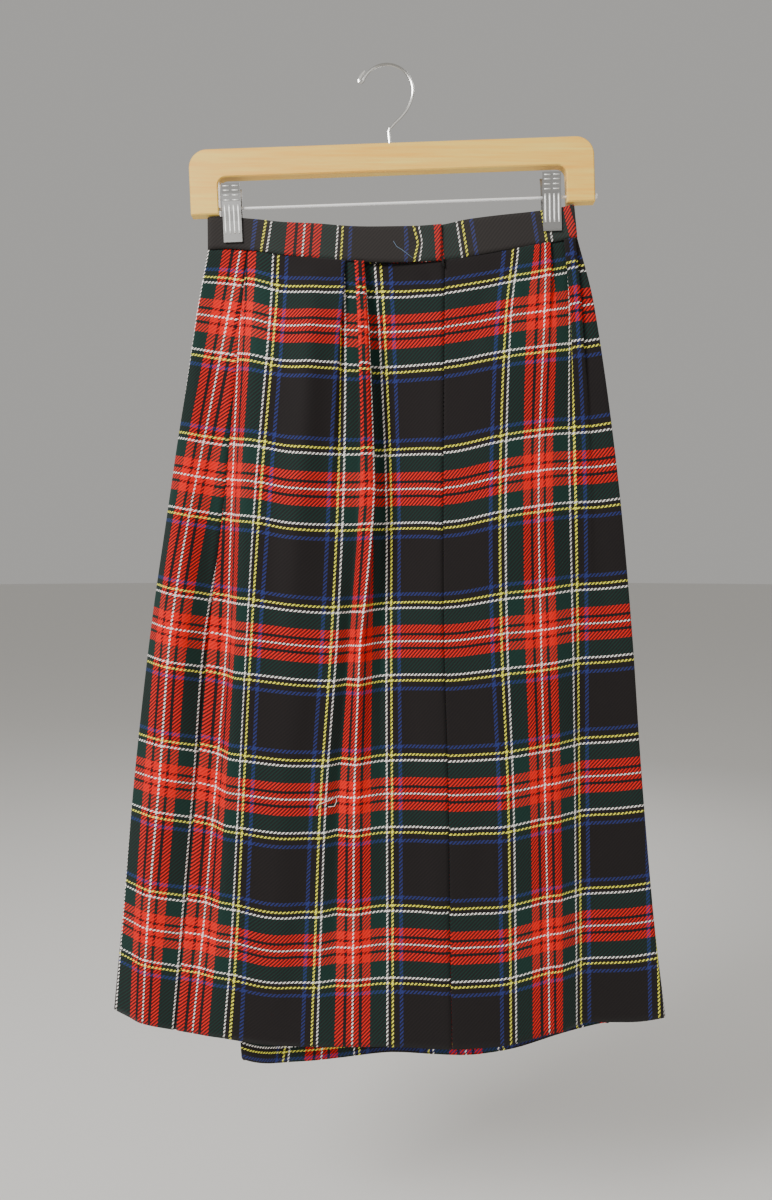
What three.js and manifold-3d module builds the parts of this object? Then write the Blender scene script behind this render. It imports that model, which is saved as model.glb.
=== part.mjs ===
// A pleated tartan skirt, clipped by its waistband to a wooden trouser hanger.
// Millimetres, +Z up, the closing side of the skirt faces -Y. The origin is the seat inside the hook.
import * as THREE from 'three';
import { mergeVertices } from 'three/addons/utils/BufferGeometryUtils.js';
import Module from 'manifold-3d';

// ---------------------------------------------------------------- driving sizes
const CLOTH = 1.2; // thickness of the skirt's cloth
const BAND = 2.2; // thickness of the doubled waistband
const GAP = 0.3; // clearance left between pieces that meet
const SEAM = 0.7; // the same along a seam, where both edges lean
const WAIST_SEAM_Z = -181.6; // height of the waist seam in the middle of the near side

// Distance of each measuring line below the waist seam. The tables below have a column for each line.
const LINE = { waist: 0, hip: 66, seat: 211, thigh: 356, knee: 501, shin: 647, hem: 743 };
const LINE_NAMES = Object.keys(LINE);

// The near side is followed from left to right by cloth distance from the centre seam.
// Each row is a thread line with that distance at its measuring lines, and where it hangs.
const NEAR_CLOTH = {
  leftEdge: { waist: -281.5, hip: -293, seat: -316.5, thigh: -337, knee: -338, shin: -340.5, hem: -342 },
  redBorder: { waist: -262.9, hip: -274.4, seat: -297.9, thigh: -318.4, knee: -318.9, shin: -318.9, hem: -318.9 },
  firstRed: { waist: -246, hip: -257.5, seat: -281, thigh: -301.5, knee: -302, shin: -302, hem: -302 },
  sideSeam: { waist: -239, hip: -247.5, seat: -255, thigh: -264, knee: -265.5, shin: -265.5, hem: -265.5 },
  rightEdge: { waist: 158, hip: 166, seat: 176, thigh: 189, knee: 198, shin: 208, hem: 217 },
};
const NEAR_X = [
  { cloth: 'leftEdge', waist: -168, hip: -179.6, seat: -202, thigh: -225, knee: -244.3, shin: -259.5, hem: -269.6 },
  { cloth: 'redBorder', waist: -153.5, hip: -166, seat: -194, thigh: -218, knee: -232.8, shin: -245.2, hem: -251.2 },
  { cloth: 'firstRed', waist: -137, hip: -150, seat: -180, thigh: -203, knee: -216, shin: -230.5, hem: -237.5 },
  { cloth: 'sideSeam', waist: -131, hip: -138.5, seat: -153, thigh: -170.5, knee: -183.5, shin: -196.7, hem: -206.2 },
  { cloth: -230.3, waist: -122, hip: -125, seat: -135.5, thigh: -142.2, knee: -152.3, shin: -162.8, hem: -173 },
  { cloth: -211, waist: -103.6, hip: -106, seat: -119, thigh: -129.4, knee: -137.8, shin: -146, hem: -155 },
  { cloth: -201.4, waist: -94.5, hip: -97.2, seat: -109, thigh: -120.3, knee: -128.4, shin: -136, hem: -142 },
  { cloth: -128.6, waist: -40, hip: -38, seat: -39.5, thigh: -46.5, knee: -57, shin: -63, hem: -66.5 },
  { cloth: -62, waist: -11, hip: -6.5, seat: 0, thigh: 0, knee: 0.5, shin: 1, hem: 1 },
  { cloth: 0, waist: 55.5, hip: 55, seat: 54, thigh: 55, knee: 59.5, shin: 61.5, hem: 63.5 },
  { cloth: 49.4, waist: 113, hip: 105.8, seat: 99.3, thigh: 101, knee: 108.5, shin: 111.5, hem: 112.5 },
  { cloth: 78.3, waist: 140, hip: 132.5, seat: 129.3, thigh: 131.4, knee: 137.5, shin: 141, hem: 141.5 },
  { cloth: 95.2, waist: 149.4, hip: 149.3, seat: 144, thigh: 147, knee: 152, shin: 156.8, hem: 158.5 },
  { cloth: 112.1, waist: 155, hip: 160.7, seat: 157, thigh: 162, knee: 168, shin: 171, hem: 171.5 },
  { cloth: 141, waist: 171.8, hip: 178, seat: 188, thigh: 192.3, knee: 195, shin: 198.5, hem: 199.5 },
  { cloth: 'rightEdge', waist: 180.3, hip: 197.2, seat: 220.9, thigh: 237.5, knee: 250, shin: 265.2, hem: 278 },
];
// How far behind the hanger's plane (plus is towards +Y) the main lines hang.
const NEAR_Y = [
  { cloth: 'leftEdge', waist: 0, hip: 2, seat: 5, thigh: 8, knee: 10, shin: 13, hem: 14 },
  { cloth: 'sideSeam', waist: -1.8, hip: -3, seat: -2, thigh: 0, knee: -3, shin: -5, hem: -4 },
  { cloth: 0, waist: -2.8, hip: -7, seat: -16, thigh: -17, knee: -18, shin: -20, hem: -26 },
  { cloth: 'rightEdge', waist: 0, hip: 2, seat: 5, thigh: 8, knee: 10, shin: 13, hem: 14 },
];

// Flanks: stretches of cloth that turn towards +Y (plus) or -Y (minus) on the near side, in degrees.
// A sewn tuck is turned nearly right round at the waist and opens to a soft roll lower down.
const TIGHT = 3; // cloth length over which a tuck's edge turns
const SOFT = 14; // the same where the cloth only rolls
const NEAR_FLANKS = [
  {
    name: 'left shoulder', from: -350, to: -305, turn: SOFT,
    waist: 0, hip: -15, seat: -40, thigh: -58, knee: -50, shin: -40, hem: -28,
  },
  {
    name: 'into the side seam', from: -290, to: -266, turn: SOFT,
    waist: 0, hip: 10, seat: 25, thigh: 32, knee: 24, shin: 12, hem: 5,
  },
  {
    name: 'out of the side seam', from: -252, to: -228, turn: SOFT,
    waist: -3, hip: -35, seat: -57, thigh: -66, knee: -54, shin: -36, hem: -6,
  },
  {
    name: 'roll, left half', from: -198, to: -172, turn: SOFT,
    waist: 0, hip: -18, seat: -25, thigh: -8, knee: -8, shin: -5, hem: 0,
  },
  {
    name: 'roll, right half', from: -170, to: -144, turn: SOFT,
    waist: 0, hip: 20, seat: 20, thigh: 8, knee: 8, shin: 5, hem: 0,
  },
  {
    name: 'small tuck', from: -139, to: -134.7, turn: TIGHT,
    waist: 174, hip: 90, seat: 20, thigh: 0, knee: 0, shin: 0, hem: 0,
  },
  {
    name: 'hollow before the pleat', from: -128.6, to: -114, turn: TIGHT,
    waist: 0, hip: 8, seat: 10, thigh: 43, knee: 42, shin: 22, hem: 0,
  },
  {
    name: 'pleat, left edge', from: -114, to: -107, turn: TIGHT,
    waist: -174, hip: -130, seat: -80, thigh: -50, knee: -35, shin: -15, hem: 0,
  },
  {
    name: 'pleat, face', from: -107, to: -99.5, turn: TIGHT,
    waist: 0, hip: 5, seat: 0, thigh: -50, knee: -28, shin: -15, hem: 0,
  },
  {
    name: 'pleat, side', from: -99.5, to: -94, turn: TIGHT,
    waist: 98, hip: 66, seat: 30, thigh: -50, knee: -28, shin: -15, hem: 0,
  },
  {
    name: 'pleat, under', from: -94, to: -81, turn: TIGHT,
    waist: 174, hip: 140, seat: 118, thigh: 48, knee: 24, shin: 10, hem: 0,
  },
  {
    name: 'pleat, back', from: -81, to: -68, turn: TIGHT,
    waist: 4, hip: 30, seat: 46, thigh: 40, knee: 17, shin: 8, hem: 0,
  },
  {
    name: 'rise to the centre seam', from: -60, to: -6, turn: SOFT,
    waist: -4, hip: -6, seat: -14, thigh: -12, knee: -10, shin: -6, hem: 0,
  },
  {
    name: 'right of the centre seam', from: 6, to: 46, turn: SOFT,
    waist: 0, hip: 0, seat: -5, thigh: -6, knee: -3, shin: 0, hem: 0,
  },
  {
    name: 'right slope, upper', from: 52, to: 92, turn: SOFT,
    waist: 0, hip: 8, seat: 12, thigh: 12, knee: 14, shin: 14, hem: 14,
  },
  {
    name: 'right tuck', from: 102, to: 106.5, turn: TIGHT,
    waist: 174, hip: 30, seat: 0, thigh: 0, knee: 0, shin: 0, hem: 0,
  },
  {
    name: 'right slope, lower', from: 110, to: 138, turn: SOFT,
    waist: 0, hip: 14, seat: 26, thigh: 28, knee: 34, shin: 33, hem: 33,
  },
  {
    name: 'edge pleat, left edge', from: 131.4, to: 135.6, turn: TIGHT,
    waist: -174, hip: -130, seat: -30, thigh: 0, knee: 0, shin: 0, hem: 0,
  },
  {
    name: 'edge pleat, right edge', from: 147, to: 151.2, turn: TIGHT,
    waist: 174, hip: 110, seat: 26, thigh: 0, knee: 0, shin: 0, hem: 0,
  },
];

// The far side is followed from its right edge to its left one by cloth distance from its middle.
const FAR_CLOTH = {
  rightEdge: { waist: -201, hip: -206, seat: -225, thigh: -243, knee: -259, shin: -271, hem: -281 },
  sideSeam: { waist: -146, hip: -154, seat: -176, thigh: -193, knee: -208, shin: -217, hem: -222 },
  leftEdge: { waist: 201, hip: 206, seat: 225, thigh: 243, knee: 259, shin: 275, hem: 297 },
};
const FAR_X = [
  { cloth: 'rightEdge', waist: 180.3, hip: 197.2, seat: 220.9, thigh: 237.5, knee: 250, shin: 265.2, hem: 278 },
  { cloth: 0, waist: 6, hip: 8, seat: 8, thigh: 6, knee: 4, shin: 3, hem: 3 },
  { cloth: 'leftEdge', waist: -168, hip: -179.6, seat: -202, thigh: -225, knee: -244.3, shin: -259.5, hem: -269.6 },
];
const FAR_Y = [
  { cloth: 'rightEdge', waist: 0, hip: 2, seat: 5, thigh: 8, knee: 10, shin: 13, hem: 14 },
  { cloth: 0, waist: 5.4, hip: 9, seat: 15, thigh: 19, knee: 22, shin: 24, hem: 25 },
  { cloth: 'leftEdge', waist: 0, hip: 2, seat: 5, thigh: 8, knee: 10, shin: 13, hem: 14 },
];
const FAR_FLANKS = [
  {
    name: 'outer right tuck, under', from: -112, to: -106, turn: TIGHT,
    waist: 174, hip: 130, seat: 70, thigh: 32, knee: 14, shin: 5, hem: 0,
  },
  {
    name: 'outer right tuck, back', from: -106, to: -100, turn: TIGHT,
    waist: 4, hip: 20, seat: 20, thigh: 14, knee: 8, shin: 3, hem: 0,
  },
  {
    name: 'inner right tuck, under', from: -66, to: -59, turn: TIGHT,
    waist: 174, hip: 140, seat: 90, thigh: 45, knee: 24, shin: 10, hem: 0,
  },
  {
    name: 'inner right tuck, back', from: -59, to: -52, turn: TIGHT,
    waist: 4, hip: 25, seat: 30, thigh: 25, knee: 14, shin: 6, hem: 0,
  },
  {
    name: 'inner left tuck, back', from: 52, to: 59, turn: TIGHT,
    waist: -4, hip: -25, seat: -30, thigh: -25, knee: -14, shin: -6, hem: 0,
  },
  {
    name: 'inner left tuck, under', from: 59, to: 66, turn: TIGHT,
    waist: -174, hip: -140, seat: -90, thigh: -45, knee: -24, shin: -10, hem: 0,
  },
  {
    name: 'outer left tuck, back', from: 100, to: 106, turn: TIGHT,
    waist: -4, hip: -20, seat: -20, thigh: -14, knee: -8, shin: -3, hem: 0,
  },
  {
    name: 'outer left tuck, under', from: 106, to: 112, turn: TIGHT,
    waist: -174, hip: -130, seat: -70, thigh: -32, knee: -14, shin: -5, hem: 0,
  },
  {
    name: 'hem fold, under', from: 148, to: 158, turn: TIGHT,
    waist: 0, hip: 0, seat: 0, thigh: 0, knee: -15, shin: -70, hem: -165,
  },
  {
    name: 'hem fold, back', from: 158, to: 168, turn: TIGHT,
    waist: 0, hip: 0, seat: 0, thigh: 0, knee: -15, shin: -40, hem: -12,
  },
];

// How much higher the level threads hang than in the middle of the waist (-1 left edge, 1 right edge).
const RISE = [
  { across: -1, waist: 12, hip: 18, seat: 14, thigh: 15.5, knee: 16, shin: 15, hem: 18 },
  { across: -0.9, waist: 13, hip: 15.5, seat: 10, thigh: 10, knee: 10, shin: 9, hem: 12.5 },
  { across: -0.75, waist: 11, hip: 11.5, seat: 6.5, thigh: 5, knee: 4.5, shin: 1.5, hem: 3.5 },
  { across: -0.6, waist: 7, hip: 5, seat: 3, thigh: 1.5, knee: -0.5, shin: 0, hem: -1 },
  { across: -0.45, waist: 4.5, hip: 2, seat: -3, thigh: -2.5, knee: -4.5, shin: -6.5, hem: -5.5 },
  { across: -0.25, waist: 1.5, hip: 1, seat: -4, thigh: -6, knee: -6, shin: -7, hem: -6 },
  { across: 0, waist: 0, hip: 0, seat: -2.5, thigh: -2, knee: -3, shin: -2.5, hem: -3 },
  { across: 0.25, waist: 1.5, hip: 3.5, seat: -1.5, thigh: 0, knee: -1.5, shin: -3, hem: -3 },
  { across: 0.45, waist: 6.5, hip: 9.5, seat: 7.5, thigh: 6.5, knee: 1, shin: -0.5, hem: 0 },
  { across: 0.6, waist: 11, hip: 14.5, seat: 13.5, thigh: 9, knee: 5.5, shin: 4.5, hem: 5 },
  { across: 0.75, waist: 15.5, hip: 18.5, seat: 17.5, thigh: 13.5, knee: 9.5, shin: 6, hem: 6.5 },
  { across: 0.9, waist: 20, hip: 23.5, seat: 19.5, thigh: 15.5, knee: 11.5, shin: 7.5, hem: 6 },
  { across: 1, waist: 23.5, hip: 27.5, seat: 22.5, thigh: 18, knee: 14, shin: 11, hem: 9.5 },
];
// The far side sags between the clips, and its hem hangs lower. Across runs from -1 right to 1 left.
const FAR_WAIST_SAG = 24;
const CLIP_ACROSS = 0.76;
const FAR_HEM_DROP = [
  { across: -1, drop: 0 },
  { across: -0.8, drop: 6 },
  { across: -0.5, drop: 26 },
  { across: -0.3, drop: 36 },
  { across: 0, drop: 34 },
  { across: 0.3, drop: 38 },
  { across: 0.5, drop: 38 },
  { across: 0.57, drop: 15 },
  { across: 0.75, drop: 4 },
  { across: 1, drop: 0 },
];
// Radius of the skirt's turned edges at left and right.
const EDGE_RADIUS = { waist: 1.6, hip: 3, seat: 5, thigh: 7, knee: 8, shin: 9, hem: 10 };

const ROWS = [0, 12, 30, 50, 75, 110, 155, 211, 280, 356, 430, 501, 575, 647, 695, 743];
const COLUMN_STEP = 11; // widest spacing of the wall's columns
const WALK = 0.5; // step with which a section is followed

// Waistband: height of its face across the near side, the closing and the clips.
const BAND_HEIGHT = [
  { across: -1, height: 29.5 },
  { across: -0.75, height: 29 },
  { across: -0.4, height: 31.8 },
  { across: -0.2, height: 32 },
  { across: 0, height: 33 },
  { across: 0.25, height: 33 },
  { across: 0.4, height: 34.5 },
  { across: 0.75, height: 33 },
  { across: 1, height: 30 },
];
const LAP_END_X = 52; // free end of the band's upper layer
const UNDERLAP_X = 33; // where the band's lower layer ends, behind it
const LAP_RISE = 1.0; // how far the upper layer stands proud of the band there
const CLIP_X = [-145.3, 155.6]; // middle of each clip at the height of the band
const BAND_Y_CLIP = 1.65; // half distance between the two layers in a clip
const BAND_Y_NEAR = 2.7; // near layer between the clips
const BAND_Y_FAR = 5.0; // far layer between the clips

// Hanger, in its own frame, which is turned about the hook's seat.
const HANGER_TILT = THREE.MathUtils.degToRad(2);
const BAR = { middle: 2, width: 379, top: -72.7, height: 26, leg: 26.3, legLength: 60, thick: 12 };
const BAR_OUTER_RADIUS = 17;
const BAR_INNER_RADIUS = 8;
const BAR_BEVEL = 1;
const ROD_Z = -126.2;
const ROD_RADIUS = 1.3;
const ROD_HEAD = { radius: 2.6, length: 2.4 };
const HOOK = { radius: 24.4, wire: 1.4, neckX: 1, sunk: 14, roundEnd: 158, returnRadius: 28 };
const NECK = [
  { x: 1, z: -58 },
  { x: 3.3, z: -55.7 },
  { x: 6.2, z: -52.6 },
  { x: 12.1, z: -47.3 },
  { x: 18, z: -40.6 },
];
const CLIP = { x: [-149.2, 151], width: 17.4, top: -105.5, bottom: -158.5, sheet: 0.9, barrel: 4.2, flare: 7.5 };

// ---------------------------------------------------------------- small helpers
/** Value at t on a smooth curve through the knots, which is straight beyond the first and last. */
function smoothThrough(places, values, t) {
  const last = places.length - 1;
  if (t <= places[0]) return values[0];
  if (t >= places[last]) return values[last];
  const i = places.findIndex((p) => p > t) - 1;
  const slope = (k) => {
    const a = Math.max(k - 1, 0);
    const b = Math.min(k + 1, last);
    return (values[b] - values[a]) / (places[b] - places[a]);
  };
  const h = places[i + 1] - places[i];
  const f = (t - places[i]) / h;
  const f2 = f * f;
  const f3 = f2 * f;
  return (
    (2 * f3 - 3 * f2 + 1) * values[i] +
    (f3 - 2 * f2 + f) * h * slope(i) +
    (3 * f2 - 2 * f3) * values[i + 1] +
    (f3 - f2) * h * slope(i + 1)
  );
}

const LINE_PLACES = LINE_NAMES.map((name) => LINE[name]);

/** A table row's value at a distance v below the waist seam. */
function at(row, v) {
  return smoothThrough(LINE_PLACES, LINE_NAMES.map((name) => row[name]), v);
}

function linearAt(row, v) {
  const k = Math.max(1, LINE_PLACES.findIndex((place) => place >= v));
  const f = (v - LINE_PLACES[k - 1]) / (LINE_PLACES[k] - LINE_PLACES[k - 1]);
  return row[LINE_NAMES[k - 1]] * (1 - f) + row[LINE_NAMES[k]] * f;
}

function clothAt(table, cloth, v) {
  return typeof cloth === 'number' ? cloth : at(table[cloth], v);
}

function ease(t) {
  const c = Math.min(Math.max(t, 0), 1);
  return c * c * (3 - 2 * c);
}

// ---------------------------------------------------------------- the skirt's form
const SIDES = {
  near: { cloth: NEAR_CLOTH, x: NEAR_X, y: NEAR_Y, flanks: NEAR_FLANKS, sign: 1, from: 'leftEdge', to: 'rightEdge' },
  far: { cloth: FAR_CLOTH, x: FAR_X, y: FAR_Y, flanks: FAR_FLANKS, sign: -1, from: 'rightEdge', to: 'leftEdge' },
};

/** Angle at which the cloth heads at u, seen from outside its side of the skirt. */
function heading(side, u, v, start, end) {
  let angle = 0;
  for (const flank of side.flanks) {
    const into = ease((u - flank.from) / flank.turn + 0.5);
    const out = ease((u - flank.to) / flank.turn + 0.5);
    angle += linearAt(flank, v) * (into - out);
  }
  const corner = (at(EDGE_RADIUS, v) * Math.PI) / 2;
  angle -= 90 * Math.max(0, 1 - (u - start) / corner);
  angle += 90 * Math.max(0, 1 - (end - u) / corner);
  return THREE.MathUtils.degToRad(angle);
}

/** Follows one side of the skirt at distance v below the waist seam, and gives x and y by cloth distance. */
function section(side, v) {
  const start = clothAt(side.cloth, side.from, v);
  const end = clothAt(side.cloth, side.to, v);
  const steps = Math.ceil((end - start) / WALK);
  const du = (end - start) / steps;
  const x = [0];
  const y = [0];
  for (let i = 0; i < steps; i += 1) {
    const angle = heading(side, start + (i + 0.5) * du, v, start, end);
    x.push(x[i] + du * side.sign * Math.cos(angle));
    y.push(y[i] + du * side.sign * Math.sin(angle));
  }
  const read = (list, u) => {
    const t = Math.min(Math.max((u - start) / du, 0), steps - 1e-9);
    const i = Math.floor(t);
    return list[i] + (list[i + 1] - list[i]) * (t - i);
  };
  // The walk is drawn to the measured thread lines by a correction that is even between them.
  const corrections = (rows, list) => rows.map((row) => {
    const u = clothAt(side.cloth, row.cloth, v);
    return { u, by: at(row, v) - read(list, u) };
  });
  const xRows = corrections(side.x, x);
  const yRows = corrections(side.y, y);
  const correction = (rows, u) => {
    const k = Math.min(Math.max(1, rows.findIndex((row) => row.u >= u)), rows.length - 1);
    const f = (u - rows[k - 1].u) / (rows[k].u - rows[k - 1].u);
    return rows[k - 1].by + (rows[k].by - rows[k - 1].by) * f;
  };
  return (u) => {
    const c = Math.min(Math.max(u, start), end);
    return [read(x, c) + correction(xRows, c), read(y, c) + correction(yRows, c)];
  };
}

const sections = new Map();
function sectionAt(sideName, v) {
  const key = `${sideName} ${v}`;
  if (!sections.has(key)) sections.set(key, section(SIDES[sideName], v));
  return sections.get(key);
}

/** Place across the skirt, from -1 at its left edge to 1 at its right one. */
function across(x, v) {
  const left = at(NEAR_X[0], v);
  const right = at(NEAR_X[NEAR_X.length - 1], v);
  return (2 * x - left - right) / (right - left);
}

const RISE_PLACES = RISE.map((row) => row.across);
function rise(x, v) {
  const s = across(x, v);
  const levels = RISE.map((row) => at(row, v));
  return smoothThrough(RISE_PLACES, levels, s);
}

function farSag(x) {
  const s = across(x, 0) / CLIP_ACROSS;
  return FAR_WAIST_SAG * Math.max(0, 1 - s * s) ** 1.2;
}

function farDrop(x, u, v) {
  const f = u / at(u < 0 ? FAR_CLOTH.rightEdge : FAR_CLOTH.leftEdge, v);
  const places = FAR_HEM_DROP.map((row) => row.across);
  const hem = smoothThrough(places, FAR_HEM_DROP.map((row) => row.drop), Math.sign(u) * Math.abs(f));
  const down = v / LINE.hem;
  return farSag(x * (1 - down) + 6 * down) * (1 - down) + hem * down;
}

function skirtPoint(sideName, u, v) {
  const [x, y] = sectionAt(sideName, v)(u);
  const drop = sideName === 'far' ? farDrop(x, u, v) : 0;
  return new THREE.Vector3(x, y, WAIST_SEAM_Z + rise(x, v) - drop - v);
}

// ---------------------------------------------------------------- walls
/** A closed wall of even thickness on a grid of points, rows[i][j]; its inside is on the grid's left. */
function wall(rows, thickness) {
  const m = rows.length;
  const n = rows[0].length;
  const positions = [];
  const across3 = new THREE.Vector3();
  const down3 = new THREE.Vector3();
  for (const face of [-0.5, 0.5]) {
    for (let i = 0; i < m; i += 1) {
      for (let j = 0; j < n; j += 1) {
        across3.subVectors(rows[i][Math.min(j + 1, n - 1)], rows[i][Math.max(j - 1, 0)]);
        down3.subVectors(rows[Math.min(i + 1, m - 1)][j], rows[Math.max(i - 1, 0)][j]);
        const normal = across3.cross(down3).normalize();
        const p = rows[i][j].clone().addScaledVector(normal, face * thickness);
        positions.push(p.x, p.y, p.z);
      }
    }
  }
  const outer = (i, j) => i * n + j;
  const inner = (i, j) => m * n + i * n + j;
  const faces = [];
  for (let i = 0; i < m - 1; i += 1) {
    for (let j = 0; j < n - 1; j += 1) {
      faces.push(outer(i, j), outer(i + 1, j), outer(i, j + 1));
      faces.push(outer(i, j + 1), outer(i + 1, j), outer(i + 1, j + 1));
      faces.push(inner(i, j), inner(i, j + 1), inner(i + 1, j));
      faces.push(inner(i, j + 1), inner(i + 1, j + 1), inner(i + 1, j));
    }
  }
  const rim = [];
  for (let i = 0; i < m - 1; i += 1) rim.push([i, 0]);
  for (let j = 0; j < n - 1; j += 1) rim.push([m - 1, j]);
  for (let i = m - 1; i > 0; i -= 1) rim.push([i, n - 1]);
  for (let j = n - 1; j > 0; j -= 1) rim.push([0, j]);
  rim.forEach(([i, j], k) => {
    const [a, b] = rim[(k + 1) % rim.length];
    faces.push(outer(i, j), inner(i, j), outer(a, b));
    faces.push(outer(a, b), inner(i, j), inner(a, b));
  });
  const geometry = new THREE.BufferGeometry();
  geometry.setAttribute('position', new THREE.Float32BufferAttribute(positions, 3));
  geometry.setIndex(faces);
  geometry.computeVertexNormals();
  return geometry;
}

/** Cloth distances at which a wall needs columns: close at tuck edges, wide elsewhere. */
function columnPlaces(side, from, to) {
  const places = [from];
  for (const flank of side.flanks) {
    if (flank.turn === TIGHT) {
      for (const edge of [flank.from, flank.to]) {
        for (const step of [-0.5, -0.17, 0.17, 0.5]) places.push(edge + step * TIGHT);
      }
    }
  }
  const inside = places.filter((u) => u >= from && u < to - 1).sort((a, b) => a - b);
  inside.push(to);
  const result = [from];
  for (const u of inside.slice(1)) {
    const last = result[result.length - 1];
    if (u - last < 0.4) continue;
    const parts = Math.ceil((u - last) / COLUMN_STEP);
    for (let k = 1; k <= parts; k += 1) result.push(last + ((u - last) * k) / parts);
  }
  return result;
}

/** Columns of a corner, as shares of its cloth length. */
const CORNER_SHARES = [0, 0.35, 0.7, 1];
function cornerLength(v) {
  return (at(EDGE_RADIUS, v) * Math.PI) / 2;
}

// A column is a function of v that gives the side and the cloth distance there.
const fixed = (sideName, u) => () => [sideName, u];
const between = (sideName, start, end, share) => (v) => [sideName, start(v) * (1 - share) + end(v) * share];

function stretch(sideName, start, end, count) {
  return Array.from({ length: count + 1 }, (_, k) => between(sideName, start, end, k / count));
}

function panel(columns, thickness) {
  const rows = ROWS.map((v, i) => {
    const down = i === 0 ? v + SEAM / 2 : v;
    return columns.map((column) => {
      const [sideName, u] = column(v);
      const p = skirtPoint(sideName, u, v);
      p.z -= down - v;
      return p;
    });
  });
  return wall(rows, thickness);
}

const nearLeftEdge = (v) => at(NEAR_CLOTH.leftEdge, v);
const nearRightEdge = (v) => at(NEAR_CLOTH.rightEdge, v);
const farRightEdge = (v) => at(FAR_CLOTH.rightEdge, v);
const farLeftEdge = (v) => at(FAR_CLOTH.leftEdge, v);
const nearSideSeam = (v) => at(NEAR_CLOTH.sideSeam, v);
const farSideSeam = (v) => at(FAR_CLOTH.sideSeam, v);

function nearLeftPanel() {
  const firstFixed = -232;
  const seam = (v) => nearSideSeam(v) + SEAM / 2;
  const columns = stretch('near', seam, () => firstFixed, 3);
  const places = columnPlaces(SIDES.near, firstFixed, -SEAM / 2).slice(1);
  return panel([...columns, ...places.map((u) => fixed('near', u))], CLOTH);
}

function nearRightPanel() {
  const lastFixed = 153;
  const places = columnPlaces(SIDES.near, SEAM / 2, lastFixed);
  const cornerStart = (v) => nearRightEdge(v) - cornerLength(v);
  const cornerEnd = (v) => farRightEdge(v) + cornerLength(v);
  const seam = (v) => farSideSeam(v) - SEAM / 2;
  const columns = [
    ...places.map((u) => fixed('near', u)),
    ...stretch('near', () => lastFixed, cornerStart, 4).slice(1),
    ...CORNER_SHARES.slice(1).map((share) => between('near', cornerStart, nearRightEdge, share)),
    ...CORNER_SHARES.slice(1).map((share) => between('far', farRightEdge, cornerEnd, share)),
    ...stretch('far', cornerEnd, seam, 5).slice(1),
  ];
  return panel(columns, CLOTH);
}

function farPanel() {
  const seam = (v) => farSideSeam(v) + SEAM / 2;
  const firstFixed = -114;
  const lastFixed = 171;
  const cornerStart = (v) => farLeftEdge(v) - cornerLength(v);
  const cornerEnd = (v) => nearLeftEdge(v) + cornerLength(v);
  const nearSeam = (v) => nearSideSeam(v) - SEAM / 2;
  const columns = [
    ...stretch('far', seam, () => firstFixed, 4),
    ...columnPlaces(SIDES.far, firstFixed, lastFixed).slice(1).map((u) => fixed('far', u)),
    ...stretch('far', () => lastFixed, cornerStart, 5).slice(1),
    ...CORNER_SHARES.slice(1).map((share) => between('far', cornerStart, farLeftEdge, share)),
    ...CORNER_SHARES.slice(1).map((share) => between('near', nearLeftEdge, cornerEnd, share)),
    ...stretch('near', cornerEnd, nearSeam, 6).slice(1),
  ];
  return panel(columns, CLOTH);
}

// ---------------------------------------------------------------- waistband
/** 0 in a clip and 1 well away from both. */
function awayFromClips(x) {
  const reach = 34;
  return Math.min(...CLIP_X.map((clip) => ease((Math.abs(x - clip) - CLIP.width / 2) / reach)));
}

function bandNearY(x) {
  return -(BAND_Y_CLIP + (BAND_Y_NEAR - BAND_Y_CLIP) * awayFromClips(x));
}

function bandFarY(x) {
  return BAND_Y_CLIP + (BAND_Y_FAR - BAND_Y_CLIP) * awayFromClips(x);
}

function bandHeight(x) {
  const places = BAND_HEIGHT.map((row) => row.across);
  return smoothThrough(places, BAND_HEIGHT.map((row) => row.height), across(x, 0));
}

function waistband() {
  const left = NEAR_X[0].waist;
  const right = NEAR_X[NEAR_X.length - 1].waist;
  const lapBlend = 40; // the two lapped ends part over this length
  const stops = [];
  const add = (x, y, sag) => stops.push({ x, y, sag });
  const steps = (from, to, count, place) => {
    for (let k = 0; k <= count; k += 1) place(from + ((to - from) * k) / count);
  };
  const lapped = (x) => 1 - ease((Math.abs(x - LAP_END_X) - 6) / lapBlend);
  steps(UNDERLAP_X, right - BAND_Y_CLIP, 15, (x) => {
    add(x, bandNearY(x) + (BAND + GAP - LAP_RISE) * lapped(x), 0);
  });
  const corner = (x, sign) => steps(-60, 60, 2, (degrees) => {
    const a = THREE.MathUtils.degToRad(degrees);
    add(x + sign * BAND_Y_CLIP * Math.cos(a), sign * BAND_Y_CLIP * Math.sin(a), 0);
  });
  corner(right - BAND_Y_CLIP, 1);
  steps(right - BAND_Y_CLIP, left + BAND_Y_CLIP, 26, (x) => add(x, bandFarY(x), farSag(x)));
  corner(left + BAND_Y_CLIP, -1);
  steps(left + BAND_Y_CLIP, LAP_END_X, 18, (x) => add(x, bandNearY(x) - LAP_RISE * lapped(x), 0));
  const levels = [1, 0.5, 0];
  const rows = levels.map((level) => stops.map(({ x, y, sag }) => {
    const bottom = WAIST_SEAM_Z + rise(x, 0) - sag + SEAM / 2;
    return new THREE.Vector3(x, y, bottom + level * bandHeight(x));
  }));
  return wall(rows, BAND);
}

// ---------------------------------------------------------------- hanger
const wasm = await Module();
wasm.setup();

function toSolid(geometry) {
  const plain = geometry.index ? geometry.clone() : geometry.clone();
  for (const name of ['normal', 'uv']) plain.deleteAttribute(name);
  const merged = mergeVertices(plain, 1e-4);
  const mesh = new wasm.Mesh({
    numProp: 3,
    vertProperties: new Float32Array(merged.attributes.position.array),
    triVerts: new Uint32Array(merged.index.array),
  });
  return new wasm.Manifold(mesh);
}

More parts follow.
